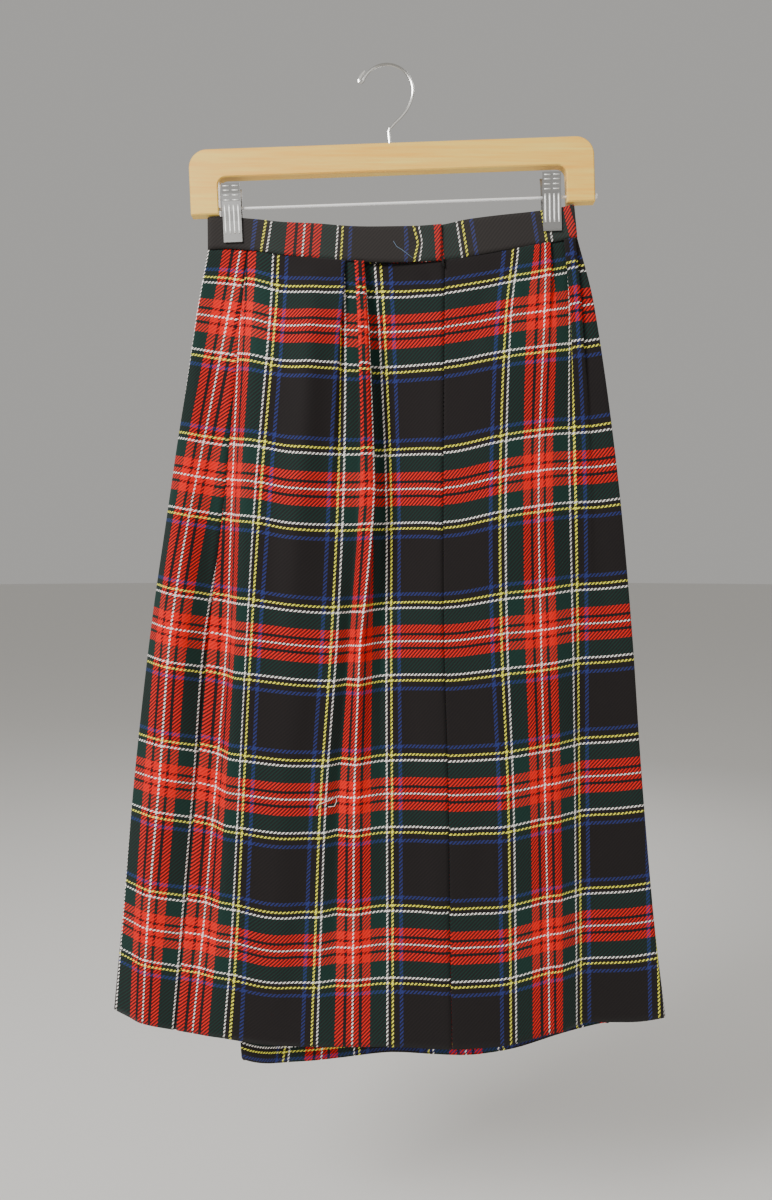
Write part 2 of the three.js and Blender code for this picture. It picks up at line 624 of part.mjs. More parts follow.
function fromSolid(solid) {
  const mesh = solid.getMesh();
  const geometry = new THREE.BufferGeometry();
  geometry.setAttribute('position', new THREE.BufferAttribute(mesh.vertProperties, mesh.numProp));
  geometry.setIndex(new THREE.BufferAttribute(mesh.triVerts, 1));
  geometry.computeVertexNormals();
  return geometry;
}

/** A cylinder along X whose left end is at x. */
function cylinderX(radius, x, length, y, z, sides) {
  const geometry = new THREE.CylinderGeometry(radius, radius, length, sides);
  geometry.rotateZ(Math.PI / 2);
  geometry.translate(x + length / 2, y, z);
  return geometry;
}

/** The wooden bar: a flat board cut to an upside-down U, drilled for the rod and the hook. */
function hangerBody() {
  const { middle, width, top, height, leg, legLength, thick } = BAR;
  const left = middle - width / 2;
  const right = middle + width / 2;
  const bottom = top - legLength;
  const ceiling = top - height;
  const R = BAR_OUTER_RADIUS;
  const r = BAR_INNER_RADIUS;
  const b = BAR_BEVEL;
  const shape = new THREE.Shape();
  shape.moveTo(left + b, bottom + b);
  shape.lineTo(left + leg - b, bottom + b);
  shape.lineTo(left + leg - b, ceiling - r);
  shape.absarc(left + leg + r, ceiling - r, r + b, Math.PI, Math.PI / 2, true);
  shape.lineTo(right - leg - r, ceiling + b);
  shape.absarc(right - leg - r, ceiling - r, r + b, Math.PI / 2, 0, true);
  shape.lineTo(right - leg + b, bottom + b);
  shape.lineTo(right - b, bottom + b);
  shape.lineTo(right - b, top - R);
  shape.absarc(right - R, top - R, R - b, 0, Math.PI / 2, false);
  shape.lineTo(left + R, top - b);
  shape.absarc(left + R, top - R, R - b, Math.PI / 2, Math.PI, false);
  shape.closePath();
  const board = new THREE.ExtrudeGeometry(shape, {
    depth: thick - 2 * b,
    bevelEnabled: true,
    bevelSize: b,
    bevelThickness: b,
    bevelSegments: 1,
    curveSegments: 6,
  });
  board.rotateX(Math.PI / 2);
  board.translate(0, thick / 2 - b, 0);
  const bore = cylinderX(ROD_RADIUS + GAP, left + b * 5, width + 20, 0, ROD_Z, 12);
  const socket = new THREE.CylinderGeometry(HOOK.wire + GAP, HOOK.wire + GAP, 2 * HOOK.sunk, 12);
  socket.rotateX(Math.PI / 2);
  socket.translate(HOOK.neckX, 0, top);
  return fromSolid(toSolid(board).subtract(toSolid(bore)).subtract(toSolid(socket)));
}

function rod() {
  const start = BAR.middle - BAR.width / 2 + 5 * BAR_BEVEL + GAP;
  const end = BAR.middle + BAR.width / 2 + GAP;
  const shaft = cylinderX(ROD_RADIUS, start, end - start + 0.5, 0, ROD_Z, 12);
  const head = cylinderX(ROD_HEAD.radius, end, ROD_HEAD.length, 0, ROD_Z, 12);
  return fromSolid(toSolid(shaft).add(toSolid(head)));
}

/** The hook's wire: a straight shank, a neck that leans out, the round of the hook and its turned-back tip. */
class HookPath extends THREE.Curve {
  constructor() {
    super();
    const { radius, wire, neckX, sunk, roundEnd, returnRadius } = HOOK;
    const centre = wire - radius;
    const points = [[neckX, BAR.top - sunk + GAP], [neckX, BAR.top], ...NECK.map(({ x, z }) => [x, z])];
    const onRound = (degrees, r) => {
      const a = THREE.MathUtils.degToRad(degrees);
      return [r * Math.cos(a), centre + r * Math.sin(a)];
    };
    for (let degrees = -30; degrees < roundEnd; degrees += 16) points.push(onRound(degrees, radius));
    // the tip is folded outwards and runs back along the round
    points.push(onRound(roundEnd, radius), onRound(roundEnd + 4, radius + 2), onRound(roundEnd, returnRadius));
    for (const back of [8, 15, 21]) points.push(onRound(roundEnd - back, returnRadius));
    const vectors = points.map(([x, z]) => new THREE.Vector3(x, 0, z));
    this.spline = new THREE.CatmullRomCurve3(vectors, false, 'centripetal');
  }

  getPoint(t, target = new THREE.Vector3()) {
    return this.spline.getPoint(t, target);
  }
}

function hook() {
  const ring = new THREE.Shape();
  ring.absarc(0, 0, HOOK.wire, 0, 2 * Math.PI, false);
  return new THREE.ExtrudeGeometry(ring, {
    steps: 64,
    curveSegments: 4,
    bevelEnabled: false,
    extrudePath: new HookPath(),
  });
}

/** A pressed plate of a clip, seen from the side: jaw below, bend at the rod, finger grip above. */
function clipPlate(x, sign) {
  const { width, top, bottom, sheet, barrel, flare } = CLIP;
  const jaw = BAND_Y_CLIP + BAND / 2 + 2 * GAP;
  const bend = barrel + GAP;
  const lips = [
    [bottom, jaw + 0.4],
    [bottom + 2, jaw],
    [ROD_Z - 13, jaw + 0.3],
    [ROD_Z - 8, (jaw + bend) / 2 + 0.2],
    [ROD_Z - 4, bend],
    [ROD_Z + 5, bend],
    [ROD_Z + 12, bend + 0.8],
    [top, flare],
  ];
  const profile = new THREE.Shape();
  lips.forEach(([z, y], k) => (k === 0 ? profile.moveTo(sign * y, z) : profile.lineTo(sign * y, z)));
  [...lips].reverse().forEach(([z, y]) => profile.lineTo(sign * (y + sheet), z));
  profile.closePath();
  const plate = new THREE.ExtrudeGeometry(profile, { depth: width, bevelEnabled: false });
  // the profile's x runs along Y and its y along Z
  plate.applyMatrix4(new THREE.Matrix4().set(0, 0, 1, x - width / 2, 1, 0, 0, 0, 0, 1, 0, 0, 0, 0, 0, 1));
  return plate;
}

/** The coiled spring round the rod, as a plain sleeve. */
function clipBarrel(x) {
  const length = CLIP.width - 4;
  const inner = ROD_RADIUS + GAP;
  const profile = [
    [inner, -length / 2],
    [CLIP.barrel, -length / 2],
    [CLIP.barrel, length / 2],
    [inner, length / 2],
    [inner, -length / 2],
  ].map(([r, h]) => new THREE.Vector2(r, h));
  const sleeve = new THREE.LatheGeometry(profile, 16);
  sleeve.rotateZ(Math.PI / 2);
  sleeve.translate(x, 0, ROD_Z);
  return sleeve;
}

// ---------------------------------------------------------------- materials and assembly
const material = (color, roughness, metalness) => new THREE.MeshStandardMaterial({ color, roughness, metalness });
const TARTAN = material(0x2b2f33, 0.9, 0);
const TARTAN_BAND = material(0x31363a, 0.9, 0);
const BEECH = material(0xe6c184, 0.45, 0);
const STEEL = material(0xc9c9c6, 0.28, 1);

function named(name, geometry, finish) {
  const mesh = new THREE.Mesh(geometry, finish);
  mesh.name = name;
  return mesh;
}

const skirt = new THREE.Group();
skirt.add(
  named('panel_near_left', nearLeftPanel(), TARTAN),
  named('panel_near_right', nearRightPanel(), TARTAN),
  named('panel_far', farPanel(), TARTAN),
  named('waistband', waistband(), TARTAN_BAND),
);

const hanger = new THREE.Group();
hanger.rotation.y = -HANGER_TILT;
hanger.add(
  named('hanger_body', hangerBody(), BEECH),
  named('hook', hook(), STEEL),
  named('rod', rod(), STEEL),
);
CLIP.x.forEach((x, k) => {
  const place = ['left', 'right'][k];
  hanger.add(
    named(`clip_${place}_front`, clipPlate(x, -1), STEEL),
    named(`clip_${place}_back`, clipPlate(x, 1), STEEL),
    named(`clip_${place}_spring`, clipBarrel(x), STEEL),
  );
});

const part = new THREE.Group();
part.add(skirt, hanger);

export default part;
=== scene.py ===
"""Looks for a pleated tartan skirt on a wooden clip hanger: its cloth, finishes, light and camera."""

import functools
import math

import bmesh
import bpy
from mathutils import Matrix, Vector


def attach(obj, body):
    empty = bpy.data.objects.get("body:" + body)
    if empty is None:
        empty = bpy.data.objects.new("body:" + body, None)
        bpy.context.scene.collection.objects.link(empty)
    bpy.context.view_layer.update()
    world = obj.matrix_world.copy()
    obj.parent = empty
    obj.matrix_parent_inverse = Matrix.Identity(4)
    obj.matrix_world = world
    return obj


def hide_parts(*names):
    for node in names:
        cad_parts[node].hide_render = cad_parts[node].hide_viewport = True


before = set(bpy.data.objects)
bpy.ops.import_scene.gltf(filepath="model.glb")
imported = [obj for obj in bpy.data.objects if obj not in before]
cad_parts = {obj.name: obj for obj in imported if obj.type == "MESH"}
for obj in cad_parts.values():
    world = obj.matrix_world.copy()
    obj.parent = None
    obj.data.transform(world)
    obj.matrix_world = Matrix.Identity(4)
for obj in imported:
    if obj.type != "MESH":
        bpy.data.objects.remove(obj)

bl_info = {
    "name": "Tartan Skirt On Hanger",
    "version": (1, 0, 0),
    "blender": (4, 5, 0),
    "location": "View3D > Sidebar > Tartan Skirt",
    "description": "Pleated tartan skirt held by its waistband in the clips of a wooden hanger",
    "category": "Object",
}

MM = 0.001
BODY = "root"
CLOTH = "tartan"
BAND_CLOTH = "tartan_band"
STEEL = "steel"

# ---------------------------------------------------------------- the skirt's form, in millimetres
WAIST_SEAM_Z = -181.6
LINE = {"waist": 0, "hip": 66, "seat": 211, "thigh": 356, "knee": 501, "shin": 647, "hem": 743}
PLACES = list(LINE.values())
HEM = LINE["hem"]

# Cloth distances of edges, seams and stripes, from the centre seam on the near side and from the middle on
# the far side. Each row has a value at the waist, hip, seat, thigh, knee, shin and hem lines.
NEAR_CLOTH = {
    "left_edge": (-281.5, -293, -316.5, -337, -338, -340.5, -342),
    "red_border": (-262.9, -274.4, -297.9, -318.4, -318.9, -318.9, -318.9),
    "first_red": (-246, -257.5, -281, -301.5, -302, -302, -302),
    "side_seam": (-239, -247.5, -255, -264, -265.5, -265.5, -265.5),
    "right_edge": (158, 166, 176, 189, 198, 208, 217),
}
FAR_CLOTH = {
    "right_edge": (-201, -206, -225, -243, -259, -271, -281),
    "side_seam": (-146, -154, -176, -193, -208, -217, -222),
    "left_edge": (201, 206, 225, 243, 259, 275, 297),
}
# Where lines of thread hang: the line's cloth distance, then its X at each measuring line.
NEAR_X = [
    ("left_edge", (-168, -179.6, -202, -225, -244.3, -259.5, -269.6)),
    ("red_border", (-153.5, -166, -194, -218, -232.8, -245.2, -251.2)),
    ("first_red", (-137, -150, -180, -203, -216, -230.5, -237.5)),
    ("side_seam", (-131, -138.5, -153, -170.5, -183.5, -196.7, -206.2)),
    (-230.3, (-122, -125, -135.5, -142.2, -152.3, -162.8, -173)),
    (-211, (-103.6, -106, -119, -129.4, -137.8, -146, -155)),
    (-201.4, (-94.5, -97.2, -109, -120.3, -128.4, -136, -142)),
    (-128.6, (-40, -38, -39.5, -46.5, -57, -63, -66.5)),
    (-62, (-11, -6.5, 0, 0, 0.5, 1, 1)),
    (0, (55.5, 55, 54, 55, 59.5, 61.5, 63.5)),
    (49.4, (113, 105.8, 99.3, 101, 108.5, 111.5, 112.5)),
    (78.3, (140, 132.5, 129.3, 131.4, 137.5, 141, 141.5)),
    (95.2, (149.4, 149.3, 144, 147, 152, 156.8, 158.5)),
    (112.1, (155, 160.7, 157, 162, 168, 171, 171.5)),
    (141, (171.8, 178, 188, 192.3, 195, 198.5, 199.5)),
    ("right_edge", (180.3, 197.2, 220.9, 237.5, 250, 265.2, 278)),
]
NEAR_Y = [
    ("left_edge", (0, 2, 5, 8, 10, 13, 14)),
    ("side_seam", (-1.8, -3, -2, 0, -3, -5, -4)),
    (0, (-2.8, -7, -16, -17, -18, -20, -26)),
    ("right_edge", (0, 2, 5, 8, 10, 13, 14)),
]
# The far side meets the near one at both edges.
FAR_X = [NEAR_X[-1], (0, (6, 8, 8, 6, 4, 3, 3)), NEAR_X[0]]
FAR_Y = [NEAR_Y[-1], (0, (5.4, 9, 15, 19, 22, 24, 25)), NEAR_Y[0]]
# Stretches of cloth that turn: from, to, length of each turn, and the angle in degrees at each line.
TIGHT = 3
SOFT = 14
NEAR_FLANKS = [
    (-350, -305, SOFT, (0, -15, -40, -58, -50, -40, -28)),  # left shoulder
    (-290, -266, SOFT, (0, 10, 25, 32, 24, 12, 5)),  # into the side seam
    (-248, -228, SOFT, (-3, -35, -57, -66, -54, -36, -6)),  # out of the side seam
    (-198, -172, SOFT, (0, -18, -25, -8, -8, -5, 0)),  # roll, left half
    (-170, -144, SOFT, (0, 20, 20, 8, 8, 5, 0)),  # roll, right half
    (-140, -133.6, TIGHT, (174, 90, 20, 0, 0, 0, 0)),  # small tuck
    (-128.6, -114, TIGHT, (0, 8, 10, 43, 42, 22, 0)),  # hollow before the pleat
    (-114, -107, TIGHT, (-174, -130, -80, -50, -35, -15, 0)),  # pleat, left edge
    (-107, -99.5, TIGHT, (0, 5, 0, -50, -28, -15, 0)),  # pleat, face
    (-99.5, -94, TIGHT, (98, 66, 30, -50, -28, -15, 0)),  # pleat, side
    (-94, -81, TIGHT, (174, 140, 118, 48, 24, 10, 0)),  # pleat, under
    (-81, -68, TIGHT, (4, 30, 46, 40, 17, 8, 0)),  # pleat, back
    (-60, -6, SOFT, (-4, -6, -14, -12, -10, -6, 0)),  # rise to the centre seam
    (6, 46, SOFT, (0, 0, -5, -6, -3, 0, 0)),  # right of the centre seam
    (52, 92, SOFT, (0, 8, 12, 12, 14, 14, 14)),  # right slope, upper
    (102, 106.5, TIGHT, (174, 30, 0, 0, 0, 0, 0)),  # right tuck
    (110, 138, SOFT, (0, 14, 26, 28, 34, 33, 33)),  # right slope, lower
    (131.4, 135.6, TIGHT, (-174, -130, -30, 0, 0, 0, 0)),  # edge pleat, left edge
    (147, 151.2, TIGHT, (174, 110, 26, 0, 0, 0, 0)),  # edge pleat, right edge
]
FAR_FLANKS = [
    (-112, -106, TIGHT, (174, 130, 70, 32, 14, 5, 0)),  # outer right tuck, under
    (-106, -100, TIGHT, (4, 20, 20, 14, 8, 3, 0)),  # outer right tuck, back
    (-66, -59, TIGHT, (174, 140, 90, 45, 24, 10, 0)),  # inner right tuck, under
    (-59, -52, TIGHT, (4, 25, 30, 25, 14, 6, 0)),  # inner right tuck, back
    (52, 59, TIGHT, (-4, -25, -30, -25, -14, -6, 0)),  # inner left tuck, back
    (59, 66, TIGHT, (-174, -140, -90, -45, -24, -10, 0)),  # inner left tuck, under
    (100, 106, TIGHT, (-4, -20, -20, -14, -8, -3, 0)),  # outer left tuck, back
    (106, 112, TIGHT, (-174, -130, -70, -32, -14, -5, 0)),  # outer left tuck, under
    (148, 158, TIGHT, (0, 0, 0, 0, -15, -70, -165)),  # hem fold, under
    (158, 168, TIGHT, (0, 0, 0, 0, -15, -40, -12)),  # hem fold, back
]
# How much higher the level threads hang than in the middle of the waist: place across, then each line.
RISE = {
    -1: (12, 18, 14, 15.5, 14.8, 15, 18),
    -0.9: (13, 15.5, 10, 11, 13, 11.4, 12.5),
    -0.75: (11, 11.5, 6.5, 5, 5.2, 3.8, 3.5),
    -0.6: (7, 5, 3, 1.5, -0.3, 1.6, -0.6),
    -0.45: (4.5, 2, -3, -2.5, -4.5, -6.5, -5.5),
    -0.25: (1.5, 1, -4, -6, -6, -7, -6),
    0: (0, 0, -2.5, -2, -3, -2.5, -3),
    0.25: (1.5, 3.5, -1.5, 0, -1.5, -3, -3),
    0.45: (6.5, 9.5, 7.5, 6.5, 1, -0.5, 0),
    0.6: (11, 14.5, 13.5, 9, 5.5, 4.5, 5),
    0.75: (15.5, 18.5, 17.5, 13.5, 9.5, 6, 6.5),
    0.9: (20, 23.5, 19.5, 15.5, 11.5, 7.5, 6),
    1: (23.5, 27.5, 22.5, 18, 14, 11, 9.5),
}
FAR_WAIST_SAG = 24  # how much lower the far side's waist hangs at its middle
CLIP_ACROSS = 0.76  # place across of the clips, which hold it up
MIDDLE_X = 6  # X of the waist's middle
# The far hem's drop below the near one, from the far side's right edge (-1) to its left one (1).
FAR_HEM_DROP = {-1: 0, -0.8: 6, -0.5: 26, -0.3: 33, 0: 31, 0.3: 35, 0.5: 34.5, 0.57: 14, 0.75: 4, 1: 0}
EDGE_RADIUS = (1.6, 2.4, 3, 3.5, 3.5, 3.5, 4)  # of the skirt's two turned edges, at each line
WALK = 0.5  # length of one step along the cloth

BAND_HEIGHT = {-1: 29.5, -0.75: 29, -0.4: 31.8, -0.2: 32, 0: 33, 0.25: 33, 0.4: 34.5, 0.75: 31.2, 1: 30}
LAP_END_X = 52  # where the upper layer of the lap ends
UNDERLAP_X = 33  # where the covered layer starts
LAP_RISE = 1.0  # how far the upper layer is pushed out
LAP_FLAT, LAP_FADE = 6, 40  # half length of the full lap, and how far it eases out beside that
LAP_GAP = 0.3  # between the two layers
BAND_LEAN = 3.2  # how far the band's right end leans in at its top
LEAN_FROM, LEAN_REACH = 160, 20
LAP_EASE, EASE_FROM = 0.077, 5  # share of cloth eased in towards the free end, and where that starts
BAND_THICK = 2.2
BAND_LEVELS = 8
BAND_STEP, FAR_BAND_STEP = 2.5, 3
BAND_CUT = 34  # height of the band's cloth, measured in the sett
COVERED_RED_X, LAPPED_RED_X = 190.2, -78.9  # middles of the red stripes that each end is charted from
PINCH_X, PINCH_REACH = 30, 8  # the pinch in the lapped layer
PINCH_LEVEL, PINCH_FADE = 0.53, 0.5
PINCH_DEPTH, PINCH_PULL = 1.6, 4.6  # how far it goes in, and draws the stripes aside
CLIP_X = (-145.3, 155.6)
CLIP_WIDTH = 17.4
CLIP_FADE = 34  # how far beside a clip the band opens again
BAND_Y_CLIP = 1.65  # how far each side of the band lies from the middle in the clips
BAND_Y_NEAR, BAND_Y_FAR = 2.7, 5.0  # the same away from the clips

SEAM_DIP = 1.0  # depth of the furrow that the centre seam pulls in the cloth
SIDE_DIP = 2.0  # the same at the side seams
SEAM_REACH = 3.0
SEAM_PART = 0.12  # half of the line left open between two panels
TOP_TUCK = 1.1  # how far a panel's top edge lies behind the band's middle
TOP_REACH = 3.0
TOP_SIDE_FADE = 8  # how soon that fades beside the turned edges
FINE_STEP, FINE_REACH = 0.6, 3  # columns this close, and how far around each tight turn
# Between these cloth distances the columns stay put. Beyond them they follow the skirt's edges.
NEAR_FIXED, FAR_FIXED = (-232, 153), (-114, 171)
# How much lower the level stripes lie at the waist, by cloth distance, where the pleats pull them.
WAIST_SHIFT = {
    -232: 0, -200: 1, -160: 0, -140: -1.5, -128: 1, -114: 1, -106: -2, -96: -2, -62: -2.3, -30: -1, 0: 0,
    52: 0, 100: -2, 131: -3, 136: -5, 147: -5, 152: -1.6, 170: 0,
}
WAIST_SHIFT_FADE = (20, 130)
# How much lower they lie beside the near seams: at the waist, at the hem, and the stretch where that fades.
MISMATCH = {
    "right_of_centre": (-1, 1.4, 40, 100),
    "left_of_centre": (0, -1.2, 0, 60),
    "before_side_seam": (-1.2, -1.2, 0, 20),
    "behind_side_seam": (0.8, 0.8, 0, 15),
}
# The pull in the centre seam: how far, how far down, half of its length, and its reach.
SEAM_PULL = (1.6, 230, 130, 18)
# The hem allowance, folded up inside: distance above the hem, and distance behind the outer layer.
HEM_TURN = ((0.3, 0.9), (1.4, 1.4), (12, 1.5), (26, 1.5), (40, 1.4))
# Soft creases: side, cloth distance, distance below the waist seam, half width, half length, depth, lean.
CREASES = (
    ("near", -135, 15, 4, 8, 2.0, 0.1),
    ("near", -12, 19, 4.5, 9, 2.2, 0.5),
    ("near", -24, 30, 6, 14, -1.0, 0.4),
    ("near", 30, 60, 9, 40, 1.6, -0.2),
    ("near", 66, 40, 6, 26, -1.2, 0.1),
    ("near", -205, 40, 8, 30, 1.4, -0.1),
    ("near", -166, 140, 10, 60, -1.4, 0.05),
    ("near", -190, 300, 9, 70, 1.5, 0.06),
    ("near", -160, 420, 9, 60, -1.3, -0.05),
    ("near", -36, 470, 10, 90, 1.8, 0.05),
    ("near", -12, 620, 9, 70, -1.4, 0.06),
    ("near", 30, 560, 10, 80, 1.6, -0.06),
    ("near", 84, 420, 9, 90, -1.4, 0.03),
    ("near", 118, 560, 9, 90, 1.6, 0.05),
    ("near", 160, 330, 9, 80, 1.3, 0.1),
    ("near", -150, 640, 10, 60, 1.6, -0.08),
    ("near", -292, 480, 8, 90, 1.2, 0.02),
    ("far", -150, 250, 10, 90, 1.5, 0.08),
    ("far", -20, 120, 10, 60, 1.8, 0.05),
    ("far", 20, 420, 12, 110, -1.8, -0.04),
    ("far", 84, 300, 10, 80, 1.6, 0.06),
    ("far", -84, 560, 11, 90, 1.8, -0.05),
    ("far", 200, 380, 11, 100, -1.6, 0.05),
)
LOOSE_THREAD = ((7, 19), (10, 14), (15, 11), (20, 7), (25, 3))  # X and height above the seam
# A stray thread caught on the cloth: X and distance below the waist seam.
STRAY_THREAD = (
    (-66, 510.5), (-65, 507), (-58.5, 504), (-53.5, 503), (-48, 501.5), (-48, 506), (-50, 510), (-55.5, 509),
)
STRAY_BETWEEN = (-170, -90)  # cloth distances between which it lies
# A black tube hanging from the lap's free end, which darkens the notch below it: X and height above the waist
# seam
LAP_DARK_MARK = ((53, 3), (53.4, -2), (54.6, -7))
LOOSE_RADIUS, STRAY_RADIUS, DARK_MARK_RADIUS = 0.28, 0.35, 0.9
THREAD_LIFT = 0.5  # from the cloth's face to a thread's middle
STRAY_LIFT = 0.8  # the same, from the middle of the cloth
# Pressed relief of a clip's front plate, in the hanger's frame from the clip's middle. The face is a list of
# heights and depths.
HANGER_TILT = 2  # degrees
CLIP_MIDDLES = (-149.2, 151)
CLIP_FACE = ((-158.5, 4.65), (-156.5, 4.25), (-145, 4.25), (-139.2, 4.55), (-134.2, 5.03), (-130.2, 5.4),
             (-121.2, 5.4), (-114.2, 6.2), (-105.5, 8.4))
CLIP_DASHES = (-107.9, -111.6, -115.8, -120.1)
DASH_FROM, DASH_TO = 1.2, 7.2
DASH_RADIUS, DASH_SUNK = 0.6, 0.1
CLIP_RIBS = (-6.3, -2.1, 2.1, 6.3)
RIB_TOP, RIB_FOOT = -124.5, -150.5
RIB_RADIUS, RIB_SUNK, RIB_STEP = 0.95, 0.3, 3

# ---------------------------------------------------------------- the tartan, in millimetres
# Half of the sett, from the white line in the middle of the red: yarn, and where its stripe ends, across and
# down.
SETT = [
    ("white", 0.85, 0.8),
    ("red", 5.8, 5.2),
    ("black", 8.8, 7.9),
    ("red", 16.9, 15.6),
    ("green", 32.5, 30.8),
    ("white", 34.4, 32.7),
    ("black", 37.5, 36.2),
    ("yellow", 39.5, 38.1),
    ("black", 45.2, 43.3),
    ("navy", 48.8, 46.7),
    ("black", 76.0, 72.65),
]
# A real thread is about 0.5 mm wide. These are drawn coarser, so that the twill's ribs show.
THREAD = 0.95
GROOVE_SHADE = 0.3  # painted shade: how much lighter a rib's top is painted than its groove
RED_CENTRE = 95.2  # from the centre seam to the first red stripe's middle
WEFT_CENTRE = 65.5  # from the waist seam to the first red stripe's middle
# The far panel's place in the sett, by cloth distance from its middle.
FAR_CHART = 373  # the red stripe that it is charted from
FAR_TUCKS = ((48, 70), (96, 116))  # where the tucks on each half take up cloth
FAR_SLACK = (110, 195)  # where the last half sett before the left edge is taken up
FAR_EASE, FAR_EASE_END = 4.4, 50  # cloth eased in right of the middle, and how far out

# ---------------------------------------------------------------- finishes, with sizes in millimetres
SHADE_PATCH = 71.4  # size of the cloth's uneven patches
SHADE_SPREAD, SHADE_LOW = 0.16, 0.64  # how much their shade varies, above the darkest
PAINTED_SHEEN_GREY = "#6a6662"  # painted sheen: the greyish haze mixed into the band's colour
# Sizes of the wood's fine grain and of its broad clouds: along the bar, through it and up it.
GRAIN = (71.4, 3.85, 2.38)
CLOUD = (200, 25, 16.67)
PLATING_GRIT = 1.11  # size of the plating's duller specks
# Colour, roughness and metallic of the hook, the rod, the clips, and the clips' pressed relief, which is
# painted brighter as a highlight.
STEELS = {
    "nickel_plated_steel": ("#cfcdc8", 0.2, 1),
    "white_zinc_plated_wire": ("#ffffff", 0.5, 0.4),
    "pressed_steel": ("#9c9b99", 0.38, 0.8),
    "rubbed_steel": ("#f4f4f1", 0.4, 0.5),
}
STEEL_PARTS = {"hook": "nickel_plated_steel", "rod": "white_zinc_plated_wire", "clip": "pressed_steel"}

# ---------------------------------------------------------------- stage, in metres, watts and degrees
PALE = "#e9e7e3"
FLOOR_Z, FLOOR_RADIUS = -1.25, 30
WORLD_STRENGTH = 0.5
LIGHTS = (
    ("key", (-1.5, -1.7, 0.9), 0.9, 74),
    ("fill", (1.6, -2.0, -0.2), 1.8, 9),
    ("rim", (0.6, 1.6, 0.6), 1.2, 14),
)
LIGHTS_AIM = (0, 0, -0.45)
CAMERA_PLACE, CAMERA_TILT = (0, -0.865, -0.461), 2.6
SENSOR, LENS, CLIP_START = 36, 27.03, 0.02


# ---------------------------------------------------------------- helpers for the form
def smooth_through(places, values, t):
    """Value at t on a smooth curve through the knots."""
    last = len(places) - 1
    if t <= places[0]:
        return values[0]
    if t >= places[last]:
        return values[last]
    i = next(k for k in range(last) if places[k + 1] > t)

    def slope(k):
        a, b = max(k - 1, 0), min(k + 1, last)
        return (values[b] - values[a]) / (places[b] - places[a])

    h = places[i + 1] - places[i]
    f = (t - places[i]) / h
    f2, f3 = f * f, f * f * f
    return (
        (2 * f3 - 3 * f2 + 1) * values[i]
        + (f3 - 2 * f2 + f) * h * slope(i)
        + (3 * f2 - 2 * f3) * values[i + 1]
        + (f3 - f2) * h * slope(i + 1)
    )


@functools.lru_cache(maxsize=None)
def at(values, v):
    """A table row's value at a distance v below the waist seam."""
    return smooth_through(PLACES, values, v)


@functools.lru_cache(maxsize=None)
def linear_at(values, v):
    """The same, read along straight lines."""
    k = next((i for i, place in enumerate(PLACES) if place >= v and i), len(PLACES) - 1)
    f = (v - PLACES[k - 1]) / (PLACES[k] - PLACES[k - 1])
    return values[k - 1] * (1 - f) + values[k] * f


def ease(t):
    """A soft rise from 0 to 1."""
    t = min(max(t, 0), 1)
    return t * t * (3 - 2 * t)


class Side:
    """One side of the skirt, followed by cloth distance as it is seen from outside."""

    def __init__(self, cloth, x, y, flanks, sign, start, end):
        self.cloth, self.x, self.y, self.flanks = cloth, x, y, flanks
        self.sign, self.start, self.end = sign, start, end
        self.sections = {}

    def place(self, key, v):
        return at(self.cloth[key], v) if isinstance(key, str) else key

    def heading(self, u, v, start, end):
        angle = 0
        for low, high, turn, angles in self.flanks:
            if low - turn < u < high + turn:
                angle += linear_at(angles, v) * (ease((u - low) / turn + 0.5) - ease((u - high) / turn + 0.5))
        corner = at(EDGE_RADIUS, v) * math.pi / 2
        angle -= 90 * max(0, 1 - (u - start) / corner)
        angle += 90 * max(0, 1 - (end - u) / corner)
        return math.radians(angle)

    def section(self, v):
        """Lists of x and y along the cloth at distance v, drawn to the measured thread lines."""
        if v in self.sections:
            return self.sections[v]
        start, end = self.place(self.start, v), self.place(self.end, v)
        steps = math.ceil((end - start) / WALK)
        du = (end - start) / steps
        x, y = [0.0], [0.0]
        for i in range(steps):
            angle = self.heading(start + (i + 0.5) * du, v, start, end)
            x.append(x[i] + du * self.sign * math.cos(angle))
            y.append(y[i] + du * self.sign * math.sin(angle))
        result = [start, du]
        for rows, walked in ((self.x, x), (self.y, y)):
            knots = []
            for key, values in rows:
                u = self.place(key, v)
                knots.append((u, at(values, v) - read(walked, (u - start) / du)))
            drawn = []
            k = 1
            for i, value in enumerate(walked):
                u = start + i * du
                while k < len(knots) - 1 and u > knots[k][0]:
                    k += 1
                (u0, by0), (u1, by1) = knots[k - 1], knots[k]
                drawn.append(value + by0 + (by1 - by0) * (u - u0) / (u1 - u0))
            result.append(drawn)
        self.sections[v] = result
        return result

    def point(self, u, v):
        start, du, x, y = self.section(v)
        t = (u - start) / du
        return read(x, t), read(y, t)

    def inward(self, u, v):
        """Unit vector through the cloth, towards the inside of the skirt."""
        (x0, y0), (x1, y1) = self.point(u - WALK, v), self.point(u + WALK, v)
        return Vector((y0 - y1, x1 - x0, 0)).normalized()


def read(values, t):
    """Value at a fractional place t in a list."""
    t = min(max(t, 0), len(values) - 1 - 1e-9)
    i = int(t)
    return values[i] + (values[i + 1] - values[i]) * (t - i)


NEAR = Side(NEAR_CLOTH, NEAR_X, NEAR_Y, NEAR_FLANKS, 1, "left_edge", "right_edge")
FAR = Side(FAR_CLOTH, FAR_X, FAR_Y, FAR_FLANKS, -1, "right_edge", "left_edge")


def across(x, v):
    """Place between the skirt's left edge (-1) and its right one (1)."""
    left, right = at(NEAR_X[0][1], v), at(NEAR_X[-1][1], v)
    return (2 * x - left - right) / (right - left)


RISE_PLACES = list(RISE)


@functools.lru_cache(maxsize=None)
def rise_row(v):
    return [at(values, v) for values in RISE.values()]


def rise(x, v):
    """How much higher the level threads hang than in the middle of the waist."""
    return smooth_through(RISE_PLACES, rise_row(v), across(x, v))


def far_sag(x):
    """How much lower the far side's waist hangs than the near one's."""
    s = across(x, 0) / CLIP_ACROSS
    return FAR_WAIST_SAG * max(0, 1 - s * s) ** 1.2


